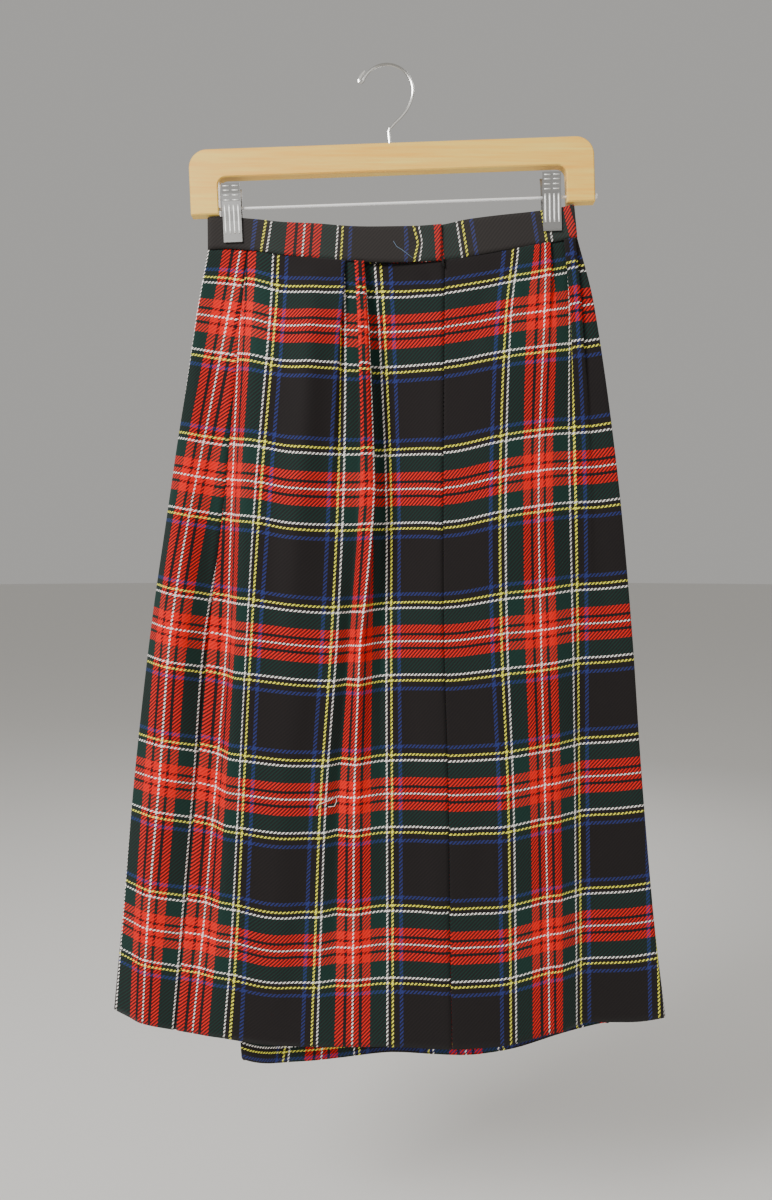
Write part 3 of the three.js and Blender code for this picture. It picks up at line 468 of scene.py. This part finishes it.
def far_drop(x, u, v):
    """How much lower the far cloth hangs than the near one."""
    f = u / abs(FAR.place("right_edge" if u < 0 else "left_edge", v))
    hem = smooth_through(list(FAR_HEM_DROP), list(FAR_HEM_DROP.values()), f)
    down = v / HEM
    return far_sag(x * (1 - down) + MIDDLE_X * down) * (1 - down) + hem * down


def skirt_point(side, u, v):
    """A point of the smooth skirt, before its seams and creases."""
    x, y = side.point(u, v)
    drop = far_drop(x, u, v) if side is FAR else 0
    return Vector((x, y, WAIST_SEAM_Z + rise(x, v) - drop - v)) * MM


# ---------------------------------------------------------------- the cut of the cloth
def near_pattern(u, v):
    """Distance of the cloth at u from a red stripe's middle. Each panel is charted from its own stripe."""
    if u >= NEAR.place("side_seam", v):
        return u - RED_CENTRE if u > 0 else u + RED_CENTRE
    return u - NEAR.place("first_red", v)


def far_pattern(u, v):
    """The same on the far side, where the tucks and the slack near the left edge hold more cloth."""
    if u < FAR.place("side_seam", v):
        return NEAR.place("right_edge", v) + u - FAR.place("right_edge", v) - RED_CENTRE
    left_held, right_held = (
        (abs(FAR_CLOTH[edge][-1]) - abs(FAR.place(edge, v))) / 2 for edge in ("left_edge", "right_edge"))
    slack = SETT[-1][1] + NEAR.place("left_edge", v) - NEAR.place("first_red", v)
    w = u - FAR_CHART + slack * ramp(u, *FAR_SLACK) - FAR_EASE * ramp(-u, 0, FAR_EASE_END)
    for tuck in FAR_TUCKS:
        w += left_held * ramp(u, *tuck) - right_held * ramp(-u, *tuck)
    return w


def mismatch(where, away, v):
    """How much lower the level stripes lie on one side of a seam, at a distance away from it."""
    at_waist, at_hem, full, gone = MISMATCH[where]
    return (at_waist + (at_hem - at_waist) * v / HEM) * (1 - ramp(away, full, gone))


def weft_shift(side, u, v):
    """How much lower the level stripes lie than they should, at the near waist and beside the near seams."""
    if side is FAR:
        return 0
    aside = u - side.place("side_seam", v)
    if aside < 0:
        return mismatch("behind_side_seam", -aside, v)
    waist = smooth_through(list(WAIST_SHIFT), list(WAIST_SHIFT.values()), u)
    waist *= 1 - ramp(v, *WAIST_SHIFT_FADE)
    if u > 0:
        return waist + mismatch("right_of_centre", u, v)
    drop, middle, half_length, reach = SEAM_PULL
    pulled = drop * math.exp(-(((v - middle) / half_length) ** 2)) * (1 - ramp(-u, 0, reach))
    return waist + pulled + mismatch("left_of_centre", -u, v) + mismatch("before_side_seam", aside, v)


def ramp(u, low, high):
    """A straight rise from 0 at low to 1 at high."""
    return min(max((u - low) / (high - low), 0), 1)


# ---------------------------------------------------------------- mesh and node helpers
def in_mm(size):
    """A setting's size in millimetres, without the last digits that it loses in Blender's own floats."""
    return round(size / MM, 3)


def srgb(code):
    """Linear RGBA of an sRGB hex colour."""
    parts = [int(code[i : i + 2], 16) / 255 for i in (1, 3, 5)]
    return [c / 12.92 if c <= 0.04045 else ((c + 0.055) / 1.055) ** 2.4 for c in parts] + [1]


def new_object(name, mesh):
    obj = bpy.data.objects.new(name, mesh)
    bpy.context.scene.collection.objects.link(obj)
    return obj


def grid_object(name, rows, uvs):
    """A smooth sheet whose vertices are moved from a plain grid to rows[i][j], with their UVs in metres."""
    m, n = len(rows), len(rows[0])
    bm = bmesh.new()
    bmesh.ops.create_grid(bm, x_segments=n - 1, y_segments=m - 1, size=1)
    bm.verts.ensure_lookup_table()
    layer = bm.loops.layers.uv.new("cloth")
    uv_of = {}
    for k, vert in enumerate(bm.verts):
        i, j = divmod(k, n)
        vert.co = rows[i][j]
        uv_of[vert] = uvs[i][j]
    for face in bm.faces:
        face.smooth = True
        for loop in face.loops:
            loop[layer].uv = uv_of[loop.vert]
    mesh = bpy.data.meshes.new(name)
    bm.to_mesh(mesh)
    bm.free()
    return new_object(name, mesh)


def thicken(obj, thickness):
    """Give a sheet its thickness, half to each side."""
    solid = obj.modifiers.new("thickness", "SOLIDIFY")
    solid.thickness = thickness
    solid.offset = 0
    solid.use_even_offset = True
    solid.thickness_clamp = 1


def place(obj, slot, material):
    """Finish a new piece, and put it on the skirt's body."""
    obj.data.materials.clear()
    obj.data.materials.append(material)
    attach(obj, BODY)
    return obj


class Nodes:
    """A new material, its shader, and the one way to add a node to it."""

    def __init__(self, name):
        self.material = bpy.data.materials.new(name)
        self.material.use_nodes = True
        self.tree = self.material.node_tree
        self.shader = self.tree.nodes["Principled BSDF"]

    def fill(self, socket, value):
        if isinstance(value, bpy.types.NodeSocket):
            self.tree.links.new(value, socket)
        else:
            socket.default_value = value

    def add(self, kind, inputs=(), output=0, **settings):
        """Add a node with its settings, fill or link its inputs, and give one of its outputs."""
        node = self.tree.nodes.new("ShaderNode" + kind)
        for key, value in settings.items():
            setattr(node, key, value)
        for key, value in inputs.items() if isinstance(inputs, dict) else enumerate(inputs):
            self.fill(node.inputs[key], value)
        return node.outputs[output]

    def set(self, **inputs):
        for key, value in inputs.items():
            self.fill(self.shader.inputs[key.replace("_", " ")], value)


def stripe_ramp(nodes, distance, column):
    """The yarn colour at a distance from the red stripe's middle, mirrored at each half of the sett."""
    half = SETT[-1][column]
    folded = nodes.add("Math", (distance, half * MM), operation="PINGPONG")
    share = nodes.add("Math", (folded, half * MM), operation="DIVIDE")
    colour = nodes.add("ValToRGB", (share,))
    colour.node.color_ramp.interpolation = "CONSTANT"
    stops = colour.node.color_ramp.elements
    stops.remove(stops[-1])
    start = 0
    for row in SETT:
        stop = stops.new(start / half) if start else stops[0]
        stop.color = getattr(scene_settings(), row[0])
        start = row[column]
    return colour


def tartan_material(name, lean, fade):
    """Worsted twill: stripes of yarn that cross, fine slanting ribs with painted shade in their grooves, and
    a dry surface with a little fuzz.
    """
    nodes = Nodes(name)
    place_on_cloth = nodes.add("UVMap", uv_map="cloth")
    u, v = nodes.add("SeparateXYZ", (place_on_cloth,)).node.outputs[:2]
    warp = stripe_ramp(nodes, u, 1)
    weft = stripe_ramp(nodes, v, 2)
    # two over, two under, and one thread further along in each row, so that the ribs slant
    threads = []
    for distance in (u, v):
        count = nodes.add("Math", (distance, THREAD * MM), operation="DIVIDE")
        threads.append(nodes.add("Math", (count,), operation="FLOOR"))
    leant = nodes.add("Math", (threads[1], lean), operation="MULTIPLY")
    step = nodes.add("Math", (threads[0], leant), operation="ADD")
    turn = nodes.add("Math", (step, 4), operation="FLOORED_MODULO")
    warp_on_top = nodes.add("Math", (turn, 1.5), operation="LESS_THAN")
    colour = nodes.add("Mix", {"Factor": warp_on_top, "A": weft, "B": warp}, "Result", data_type="RGBA")
    # painted sheen: a greyish haze mixed into the colour, by the given share
    with_painted_sheen = nodes.add("Mix", {"Factor": fade, "A": colour, "B": srgb(PAINTED_SHEEN_GREY)}, "Result", data_type="RGBA")
    # the shade drifts a little from patch to patch, and painted shade darkens the colour in the grooves
    # between the ribs
    position = nodes.add("TexCoord", output="Object")
    patches = nodes.add("TexNoise", {"Vector": position, "Scale": 1 / (SHADE_PATCH * MM), "Detail": 3})
    drift = nodes.add("Math", (patches, SHADE_SPREAD, SHADE_LOW), operation="MULTIPLY_ADD")
    thread_middle = nodes.add("Math", (step, 0.5), operation="ADD")
    ribs = nodes.add("Math", (thread_middle, 2), operation="PINGPONG")
    value = nodes.add("Math", (ribs, GROOVE_SHADE, drift), operation="MULTIPLY_ADD")
    shade = nodes.add("HueSaturation", {"Value": value, "Color": with_painted_sheen})
    bump = nodes.add("Bump", {"Height": ribs, "Strength": 0.12, "Distance": 0.1 * MM})
    nodes.set(Base_Color=shade, Roughness=0.86, Normal=bump)
    nodes.set(Sheen_Weight=0.05, Sheen_Roughness=0.5, Specular_IOR_Level=0.18)
    return nodes.material


def wood_material():
    """Lacquered beech: pale yellow, with fine straight grain along the bar and a clear coat's soft shine."""
    nodes = Nodes("lacquered_beech")
    position = nodes.add("TexCoord", output="Object")
    noises = []
    for sizes, detail in ((GRAIN, {"Detail": 6, "Roughness": 0.6}), (CLOUD, {"Detail": 3})):
        stretched = nodes.add("Mapping", {"Vector": position, "Scale": [1 / (size * MM) for size in sizes]})
        noises.append(nodes.add("TexNoise", {"Vector": stretched, "Scale": 1, **detail}))
    grain, cloud = noises
    part = nodes.add("Math", (cloud, 0.4), operation="MULTIPLY")
    both = nodes.add("Math", (grain, 0.6, part), operation="MULTIPLY_ADD")
    tint = nodes.add("ValToRGB", (both,))
    settings = scene_settings()
    for stop, share, shade in zip(
            tint.node.color_ramp.elements, (0.3, 0.7), (settings.wood_dark, settings.wood_light)):
        stop.position = share
        stop.color = shade
    nodes.set(Base_Color=tint, Roughness=0.42, Coat_Weight=0.35, Coat_Roughness=0.2)
    return nodes.material


def steel_material(name):
    """Plated steel: bright, with a faint blur from polishing, and duller where the plating is chalky."""
    code, roughness, metallic = STEELS[name]
    nodes = Nodes(name)
    position = nodes.add("TexCoord", output="Object")
    grit = nodes.add("TexNoise", {"Vector": position, "Scale": 1 / (PLATING_GRIT * MM), "Detail": 2})
    blur = nodes.add("Math", (grit, 0.08, roughness), operation="MULTIPLY_ADD")
    nodes.set(Base_Color=srgb(code), Metallic=metallic, Roughness=blur)
    return nodes.material


def matt_material(name, code, roughness):
    """A matt finish with no shine: spun yarn, paper, and the black tube at the lap's end."""
    nodes = Nodes(name)
    nodes.set(Base_Color=srgb(code), Roughness=roughness)
    return nodes.material


# ---------------------------------------------------------------- cloth
def spread(low, high, step):
    """Evenly spaced places from low to high, at most a step apart."""
    count = max(1, math.ceil((high - low) / step))
    return [low + (high - low) * k / count for k in range(count + 1)]


def row_places(settings):
    """Rows of a panel: place on the skirt's form, distance along the cloth, and distance behind its face."""
    outer = [0, TOP_REACH / 2, TOP_REACH] + spread(2 * TOP_REACH, HEM, in_mm(settings.row_step))
    return [(v, v, 0) for v in outer] + [(HEM - up, HEM + up, behind) for up, behind in HEM_TURN]


def fixed_columns(side, low, high, step):
    """Cloth distances for a sheet's columns: close where a tuck turns or a seam dips, wider elsewhere."""
    tight = [edge for flank in side.flanks if flank[2] == TIGHT for edge in flank[:2]]
    if side is NEAR:
        tight.append(0)
    places = [low]
    while places[-1] < high - FINE_STEP / 2:
        u = places[-1]
        near = min(abs(edge - u) for edge in tight)
        places.append(min(u + (FINE_STEP if near < FINE_REACH else step), high))
    return [(lambda v, u=u: (side, u)) for u in places]


def blended_columns(side, low, high, count):
    """Columns spread evenly between two distances that change down the cloth."""
    def column(share):
        return lambda v: (side, low(v) * (1 - share) + high(v) * share)

    return [column(k / count) for k in range(count + 1)]


def seam_columns(side, sign):
    """Columns close to a side seam, outwards from it, and the distance where they end."""
    def beside(distance):
        return lambda v: side.place("side_seam", v) + sign * distance

    steps = (SEAM_PART, 0.8, 1.6, SEAM_REACH)
    return [(lambda v, d=d: (side, beside(d)(v))) for d in steps], beside(SEAM_REACH)


def edge_columns(first, first_end, second, second_start):
    """Columns round one of the skirt's turned edges."""
    def corner(v):
        return at(EDGE_RADIUS, v) * math.pi / 2

    before = blended_columns(first, lambda v: first_end(v) - corner(v), first_end, 8)
    after = blended_columns(second, second_start, lambda v: second_start(v) + corner(v), 8)
    return before + after[1:], lambda v: first_end(v) - corner(v), lambda v: second_start(v) + corner(v)


def place_of(side, key):
    return lambda v: side.place(key, v)


def crease_depth(side, u, v):
    """How far the soft creases push the cloth inwards."""
    name = "near" if side is NEAR else "far"
    depth = 0
    for where, middle, down, half_width, half_length, deep, lean in CREASES:
        if where == name and abs(v - down) < 3 * half_length:
            aside = (u - middle - lean * (v - down)) / half_width
            along = (v - down) / half_length
            depth += deep * math.exp(-aside * aside - along * along)
    return depth


def seam_depth(side, u, v):
    """How far the seams' furrows draw the cloth inwards."""
    depth = SIDE_DIP * max(0, 1 - abs(u - side.place("side_seam", v)) / SEAM_REACH)
    return depth + (SEAM_DIP * max(0, 1 - 2 * abs(u) / SEAM_REACH) if side is NEAR else 0)


def cloth_point(side, u, v, behind):
    """A point of the finished cloth, at a distance behind its middle."""
    depth = behind + seam_depth(side, u, v) + crease_depth(side, u, v)
    point = skirt_point(side, u, v) + side.inward(u, v) * depth * MM
    from_edge = min(u - side.place(side.start, v), side.place(side.end, v) - u)
    point.y += side.sign * TOP_TUCK * max(0, 1 - v / TOP_REACH) * min(1, from_edge / TOP_SIDE_FADE) * MM
    return point


def panel_object(name, columns, settings):
    """A panel of the skirt from its columns, with the hem allowance turned up inside."""
    rows, uvs = [], []
    for v, along, behind in row_places(settings):
        row, uv = [], []
        for column in columns:
            side, u = column(v)
            row.append(cloth_point(side, u, v, behind))
            w = near_pattern(u, v) if side is NEAR else far_pattern(u, v)
            uv.append((w * MM, (along - WEFT_CENTRE - weft_shift(side, u, v)) * MM))
        rows.append(row)
        uvs.append(uv)
    obj = grid_object(name, rows, uvs)
    thicken(obj, settings.thickness)
    return obj


def near_left_columns(step):
    beside, end = seam_columns(NEAR, 1)
    return (
        beside
        + blended_columns(NEAR, end, lambda v: NEAR_FIXED[0], 7)[1:-1]
        + fixed_columns(NEAR, NEAR_FIXED[0], -SEAM_PART, step)
    )


def near_right_columns(step):
    corner, start, end = edge_columns(
        NEAR, place_of(NEAR, "right_edge"), FAR, place_of(FAR, "right_edge"))
    beside, seam_end = seam_columns(FAR, -1)
    return (
        fixed_columns(NEAR, SEAM_PART, NEAR_FIXED[1], step)
        + blended_columns(NEAR, lambda v: NEAR_FIXED[1], start, 12)[1:-1]
        + corner
        + blended_columns(FAR, end, seam_end, 16)[1:-1]
        + beside[::-1]
    )


def far_columns(step):
    corner, start, end = edge_columns(
        FAR, place_of(FAR, "left_edge"), NEAR, place_of(NEAR, "left_edge"))
    beside, seam_end = seam_columns(FAR, 1)
    near_beside, near_end = seam_columns(NEAR, -1)
    return (
        beside
        + blended_columns(FAR, seam_end, lambda v: FAR_FIXED[0], 20)[1:-1]
        + fixed_columns(FAR, *FAR_FIXED, step)
        + blended_columns(FAR, lambda v: FAR_FIXED[1], start, 18)[1:-1]
        + corner
        + blended_columns(NEAR, end, near_end, 24)[1:-1]
        + near_beside[::-1]
    )


# ---------------------------------------------------------------- waistband
def away_from_clips(x):
    """0 where a clip pinches the band, rising to 1 beside it."""
    return min(ease((abs(x - clip) - CLIP_WIDTH / 2) / CLIP_FADE) for clip in CLIP_X)


def band_near_y(x):
    """Y of the near side's single layer, at its middle."""
    return -(BAND_Y_CLIP + (BAND_Y_NEAR - BAND_Y_CLIP) * away_from_clips(x))


def band_far_y(x):
    return BAND_Y_CLIP + (BAND_Y_FAR - BAND_Y_CLIP) * away_from_clips(x)


def lapped(x):
    """1 where the band lies double, falling to 0 beside that."""
    return 1 - ease((abs(x - LAP_END_X) - LAP_FLAT) / LAP_FADE)


def band_height(x):
    return smooth_through(list(BAND_HEIGHT), list(BAND_HEIGHT.values()), across(x, 0))


def band_turn(x, start):
    """The band's middle round one of the skirt's edges, from an angle in degrees, without its two ends."""
    angles = [math.radians(start + 22.5 * k) for k in range(1, 8)]
    return [(x + BAND_Y_CLIP * math.cos(a), BAND_Y_CLIP * math.sin(a), 0) for a in angles]


def band_path():
    """The band's middle from its covered end round the right edge and the far side to its lapped end."""
    left, right = NEAR_X[0][1][0] + BAND_Y_CLIP, NEAR_X[-1][1][0] - BAND_Y_CLIP
    covered = [
        (x, band_near_y(x) + (BAND_THICK + LAP_GAP - LAP_RISE) * lapped(x), 0)
        for x in spread(UNDERLAP_X, right, BAND_STEP)
    ]
    far = [(x, band_far_y(x), far_sag(x)) for x in reversed(spread(left, right, FAR_BAND_STEP))]
    near = [(x, band_near_y(x) - LAP_RISE * lapped(x), 0) for x in spread(left, LAP_END_X, BAND_STEP)]
    return covered + band_turn(right, -90) + far + band_turn(left, 90) + near


def band_point(x, y, sag, level):
    bottom = WAIST_SEAM_Z + rise(x, 0) - sag
    lean = BAND_LEAN * level * ease((x - LEAN_FROM) / LEAN_REACH)
    return Vector((x - lean, y, bottom + level * band_height(x))) * MM


def crumple(x, level):
    """The pinch in the lapped layer, a little left of its free end."""
    return math.exp(-(((x - PINCH_X) / PINCH_REACH) ** 2)) * max(0, 1 - abs(level - PINCH_LEVEL) / PINCH_FADE)


def waistband_object(settings):
    """The folded strip, as one sheet whose stripes stand square to its lower edge."""
    path = band_path()
    distances = [0.0]
    for (x0, y0, _), (x1, y1, _) in zip(path, path[1:]):
        distances.append(distances[-1] + math.hypot(x1 - x0, y1 - y0))
    total = distances[-1]
    feet = [rise(x, 0) - sag for x, _, sag in path]
    last = len(path) - 1
    rows, uvs = [], []
    for level in [k / BAND_LEVELS for k in range(BAND_LEVELS + 1)]:
        row, uv = [], []
        for i, ((x, y, sag), s) in enumerate(zip(path, distances)):
            a, b = max(i - 1, 0), min(i + 1, last)
            slope = (feet[b] - feet[a]) / (distances[b] - distances[a])
            covered_half = s < total / 2
            pinched = crumple(x, level) if y < 0 and not covered_half else 0
            swell = in_mm(settings.pucker) * math.sin(math.pi * level) * lapped(x)
            row.append(band_point(x, y - swell + PINCH_DEPTH * pinched, sag, level))
            # each half of the strip has its own place in the sett, and they meet out of sight on the far side
            if covered_half:
                w = s - (COVERED_RED_X - UNDERLAP_X)
            else:
                w = s - total + LAP_END_X - LAPPED_RED_X
                w += max(0, w - EASE_FROM) * LAP_EASE - PINCH_PULL * pinched
            w += slope * band_height(x) * level
            uv.append((w * MM, (SETT[-1][2] + BAND_CUT * (level - 0.5)) * MM))
        rows.append(row)
        uvs.append(uv)
    obj = grid_object("waistband_cloth", rows, uvs)
    thicken(obj, settings.band_thickness)
    return obj


# ---------------------------------------------------------------- small round things
def add_tube(bm, points, radius, sides=8):
    """A round bar along a list of points: a circle at each, joined to the next, and closed at both ends."""
    rings = []
    last = len(points) - 1
    for i, point in enumerate(points):
        along = points[min(i + 1, last)] - points[max(i - 1, 0)]
        turned = Matrix.Translation(point) @ along.to_track_quat("Z", "Y").to_matrix().to_4x4()
        circle = bmesh.ops.create_circle(
            bm, cap_ends=i in (0, last), segments=sides, radius=radius, matrix=turned)["verts"]
        rings.append(list(dict.fromkeys(edge for vert in circle for edge in vert.link_edges)))
    for first, second in zip(rings, rings[1:]):
        for face in bmesh.ops.bridge_loops(bm, edges=first + second)["faces"]:
            face.smooth = True


def tube_object(name, runs, radius):
    bm = bmesh.new()
    for points in runs:
        add_tube(bm, points, radius * MM)
    bmesh.ops.recalc_face_normals(bm, faces=bm.faces)
    mesh = bpy.data.meshes.new(name)
    bm.to_mesh(mesh)
    bm.free()
    return new_object(name, mesh)


def on_band(places):
    """Points just in front of the band's upper layer, from X and height above the waist seam."""
    points = []
    for x, height in places:
        y = band_near_y(x) - LAP_RISE * lapped(x) - BAND_THICK / 2 - THREAD_LIFT
        points.append(Vector((x, y, WAIST_SEAM_Z + rise(x, 0) + height)) * MM)
    return points


def on_cloth(places):
    """Points just in front of the near cloth, from X and distance below the waist seam."""
    points = []
    for x, v in places:
        u = min(spread(*STRAY_BETWEEN, WALK), key=lambda u: abs(NEAR.point(u, v)[0] - x))
        points.append(cloth_point(NEAR, u, v, -STRAY_LIFT))
    return points


def on_clip(middle, x, z, sunk):
    """A point on the front of a clip's plate, a little below its face, turned with the hanger."""
    (z0, y0), (z1, y1) = next(pair for pair in zip(CLIP_FACE, CLIP_FACE[1:]) if pair[1][0] >= z)
    face = y0 + (y1 - y0) * (z - z0) / (z1 - z0)
    tilt = Matrix.Rotation(math.radians(-HANGER_TILT), 3, "Y")
    return tilt @ Vector((middle + x, -(face - sunk), z)) * MM


# ---------------------------------------------------------------- settings and operators
def scene_settings():
    return bpy.context.scene.tartan_skirt


def length(name, description, default, low, high):
    """A size given here in millimetres, and held in metres."""
    return bpy.props.FloatProperty(
        name=name, description=description, default=default * MM, min=low * MM, max=high * MM,
        unit="LENGTH", subtype="DISTANCE")


def colour(name, description, code):
    """A colour given here as an sRGB code."""
    return bpy.props.FloatVectorProperty(
        name=name, description=description, default=srgb(code), min=0, max=1, size=4, subtype="COLOR")


class SkirtSettings(bpy.types.PropertyGroup):
    row_step: length("Row step", "Spacing of the cloth's rows", 6, 2, 20)
    column_step: length("Column step", "Spacing of the cloth's columns", 4, 1, 12)
    thickness: length("Cloth thickness", "Thickness of the cloth", 0.9, 0.3, 3)
    band_thickness: length("Band thickness", "Thickness of the doubled waistband", 2, 1, 4)
    pucker: length("Pucker", "How far the band swells over its lap", 0.5, 0, 3)
    black: colour("Black", "The tartan's ground and its thin lines", "#1d1919")
    navy: colour("Navy", "The blue lines at the edge of the ground", "#28316c")
    green: colour("Green", "The stripes beside the red", "#15302a")
    red: colour("Red", "The widest bright stripe", "#df0f06")
    white: colour("White", "The lines in the red and beside the green", "#fbf6f0")
    yellow: colour("Yellow", "The lines beside the white ones", "#f4ee52")
    wood_dark: colour("Wood grain", "The darker streaks of the hanger's wood", "#ffb63c")
    wood_light: colour("Wood", "The paler streaks of the hanger's wood", "#ffe070")


class SKIRT_OT_panels(bpy.types.Operator):
    """Build the skirt's three panels, pleated and hanging"""

    bl_idname = "skirt.panels"
    bl_label = "Skirt panels"

    def execute(self, context):
        settings = scene_settings()
        cloth = tartan_material("worsted_tartan", 1, 0.0)
        step = in_mm(settings.column_step)
        near_left = panel_object("near_left_cloth", near_left_columns(step), settings)
        near_right = panel_object("near_right_cloth", near_right_columns(step), settings)
        far = panel_object("far_cloth", far_columns(step), settings)
        for obj, node, flat in (
            (near_left, "panel_near_left", (0.266, 0.783)),
            (near_right, "panel_near_right", (0.276, 0.783)),
            (far, "panel_far", (0.596, 0.783)),
        ):
            place(obj, CLOTH, cloth)
            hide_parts(node)
        stray = tube_object("stray_thread", [on_cloth(STRAY_THREAD)], STRAY_RADIUS)
        place(stray, CLOTH, matt_material("undyed_yarn", "#efe9df", 0.9))
        return {"FINISHED"}


class SKIRT_OT_band(bpy.types.Operator):
    """Build the lapped waistband"""

    bl_idname = "skirt.band"
    bl_label = "Waistband"

    def execute(self, context):
        settings = scene_settings()
        # the band's colour gets a 0.12 share of painted sheen
        cloth = tartan_material("worsted_tartan_band", -1, 0.12)
        band = waistband_object(settings)
        place(band, BAND_CLOTH, cloth)
        thread = tube_object("loose_thread", [on_band(LOOSE_THREAD)], LOOSE_RADIUS)
        place(thread, BAND_CLOTH, matt_material("blue_grey_yarn", "#66788f", 0.9))
        # a black tube hanging from the lap's free end, darkening the notch below it
        dark_mark = tube_object("lap_tail", [on_band(LAP_DARK_MARK)], DARK_MARK_RADIUS)
        place(dark_mark, BAND_CLOTH, matt_material("black_yarn", "#0f0d0d", 0.95))
        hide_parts("waistband")
        return {"FINISHED"}


class SKIRT_OT_hanger(bpy.types.Operator):
    """Finish the hanger's wood, wire and clips"""

    bl_idname = "skirt.hanger"
    bl_label = "Hanger finishes"

    def execute(self, context):
        finishes = {start: steel_material(name) for start, name in STEEL_PARTS.items()}
        finishes["hanger_body"] = wood_material()
        for name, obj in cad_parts.items():
            for start, finish in finishes.items():
                if name.startswith(start):
                    obj.data.materials.clear()
                    obj.data.materials.append(finish)
        # painted highlight: the pressed relief on the clips is given a brighter, paler steel
        painted_highlight = steel_material("rubbed_steel")
        for side, middle in zip(("left", "right"), CLIP_MIDDLES):
            dashes = [
                [on_clip(middle, sign * x, z, DASH_SUNK) for x in (DASH_FROM, DASH_TO)]
                for z in CLIP_DASHES for sign in (-1, 1)
            ]
            place(tube_object(f"clip_{side}_dashes", dashes, DASH_RADIUS), STEEL, painted_highlight)
            heights = spread(RIB_FOOT, RIB_TOP, RIB_STEP)
            ribs = [[on_clip(middle, x, z, RIB_SUNK) for z in heights] for x in CLIP_RIBS]
            place(tube_object(f"clip_{side}_ribs", ribs, RIB_RADIUS), STEEL, painted_highlight)
        return {"FINISHED"}


class SKIRT_OT_stage(bpy.types.Operator):
    """Set the floor, the lights and the camera"""

    bl_idname = "skirt.stage"
    bl_label = "Stage"

    def execute(self, context):
        bm = bmesh.new()
        bmesh.ops.create_circle(
            bm, cap_ends=True, segments=64, radius=FLOOR_RADIUS, matrix=Matrix.Translation((0, 0, FLOOR_Z)))
        mesh = bpy.data.meshes.new("floor")
        bm.to_mesh(mesh)
        bm.free()
        floor = new_object("floor", mesh)
        mesh.materials.append(matt_material("pale_paper", PALE, 0.9))

        world = bpy.data.worlds.new("pale_room")
        context.scene.world = world
        world.use_nodes = True
        background = world.node_tree.nodes["Background"]
        background.inputs["Color"].default_value = srgb(PALE)
        background.inputs["Strength"].default_value = WORLD_STRENGTH

        for name, location, size, power in LIGHTS:
            light = bpy.data.lights.new(name, "AREA")
            light.energy = power
            light.size = size
            lamp = new_object(name, light)
            lamp.location = location
            aim = Vector(LIGHTS_AIM) - Vector(location)
            lamp.rotation_euler = aim.to_track_quat("-Z", "Y").to_euler()

        data = bpy.data.cameras.new("camera")
        data.sensor_width = SENSOR
        data.lens = LENS
        data.clip_start = CLIP_START
        camera = new_object("camera", data)
        camera.location = CAMERA_PLACE
        camera.rotation_euler = (math.radians(90 - CAMERA_TILT), 0, 0)
        context.scene.camera = camera
        return {"FINISHED"}


class SKIRT_PT_panel(bpy.types.Panel):
    """Sizes of the skirt and the buttons that build it"""

    bl_label = "Tartan Skirt"
    bl_idname = "SKIRT_PT_panel"
    bl_space_type = "VIEW_3D"
    bl_region_type = "UI"
    bl_category = "Tartan Skirt"

    def draw(self, context):
        settings = scene_settings()
        for name in SkirtSettings.__annotations__:
            self.layout.prop(settings, name)
        for operator in OPERATORS:
            self.layout.operator(operator.bl_idname)


OPERATORS = (SKIRT_OT_band, SKIRT_OT_panels, SKIRT_OT_hanger, SKIRT_OT_stage)
CLASSES = (SkirtSettings, *OPERATORS, SKIRT_PT_panel)


def register():
    for cls in CLASSES:
        bpy.utils.register_class(cls)
    bpy.types.Scene.tartan_skirt = bpy.props.PointerProperty(type=SkirtSettings)


def unregister():
    del bpy.types.Scene.tartan_skirt
    for cls in reversed(CLASSES):
        bpy.utils.unregister_class(cls)


def main():
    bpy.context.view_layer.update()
    register()
    bpy.ops.skirt.band()
    bpy.ops.skirt.panels()
    bpy.ops.skirt.hanger()
    bpy.ops.skirt.stage()


if __name__ == "__main__":
    main()
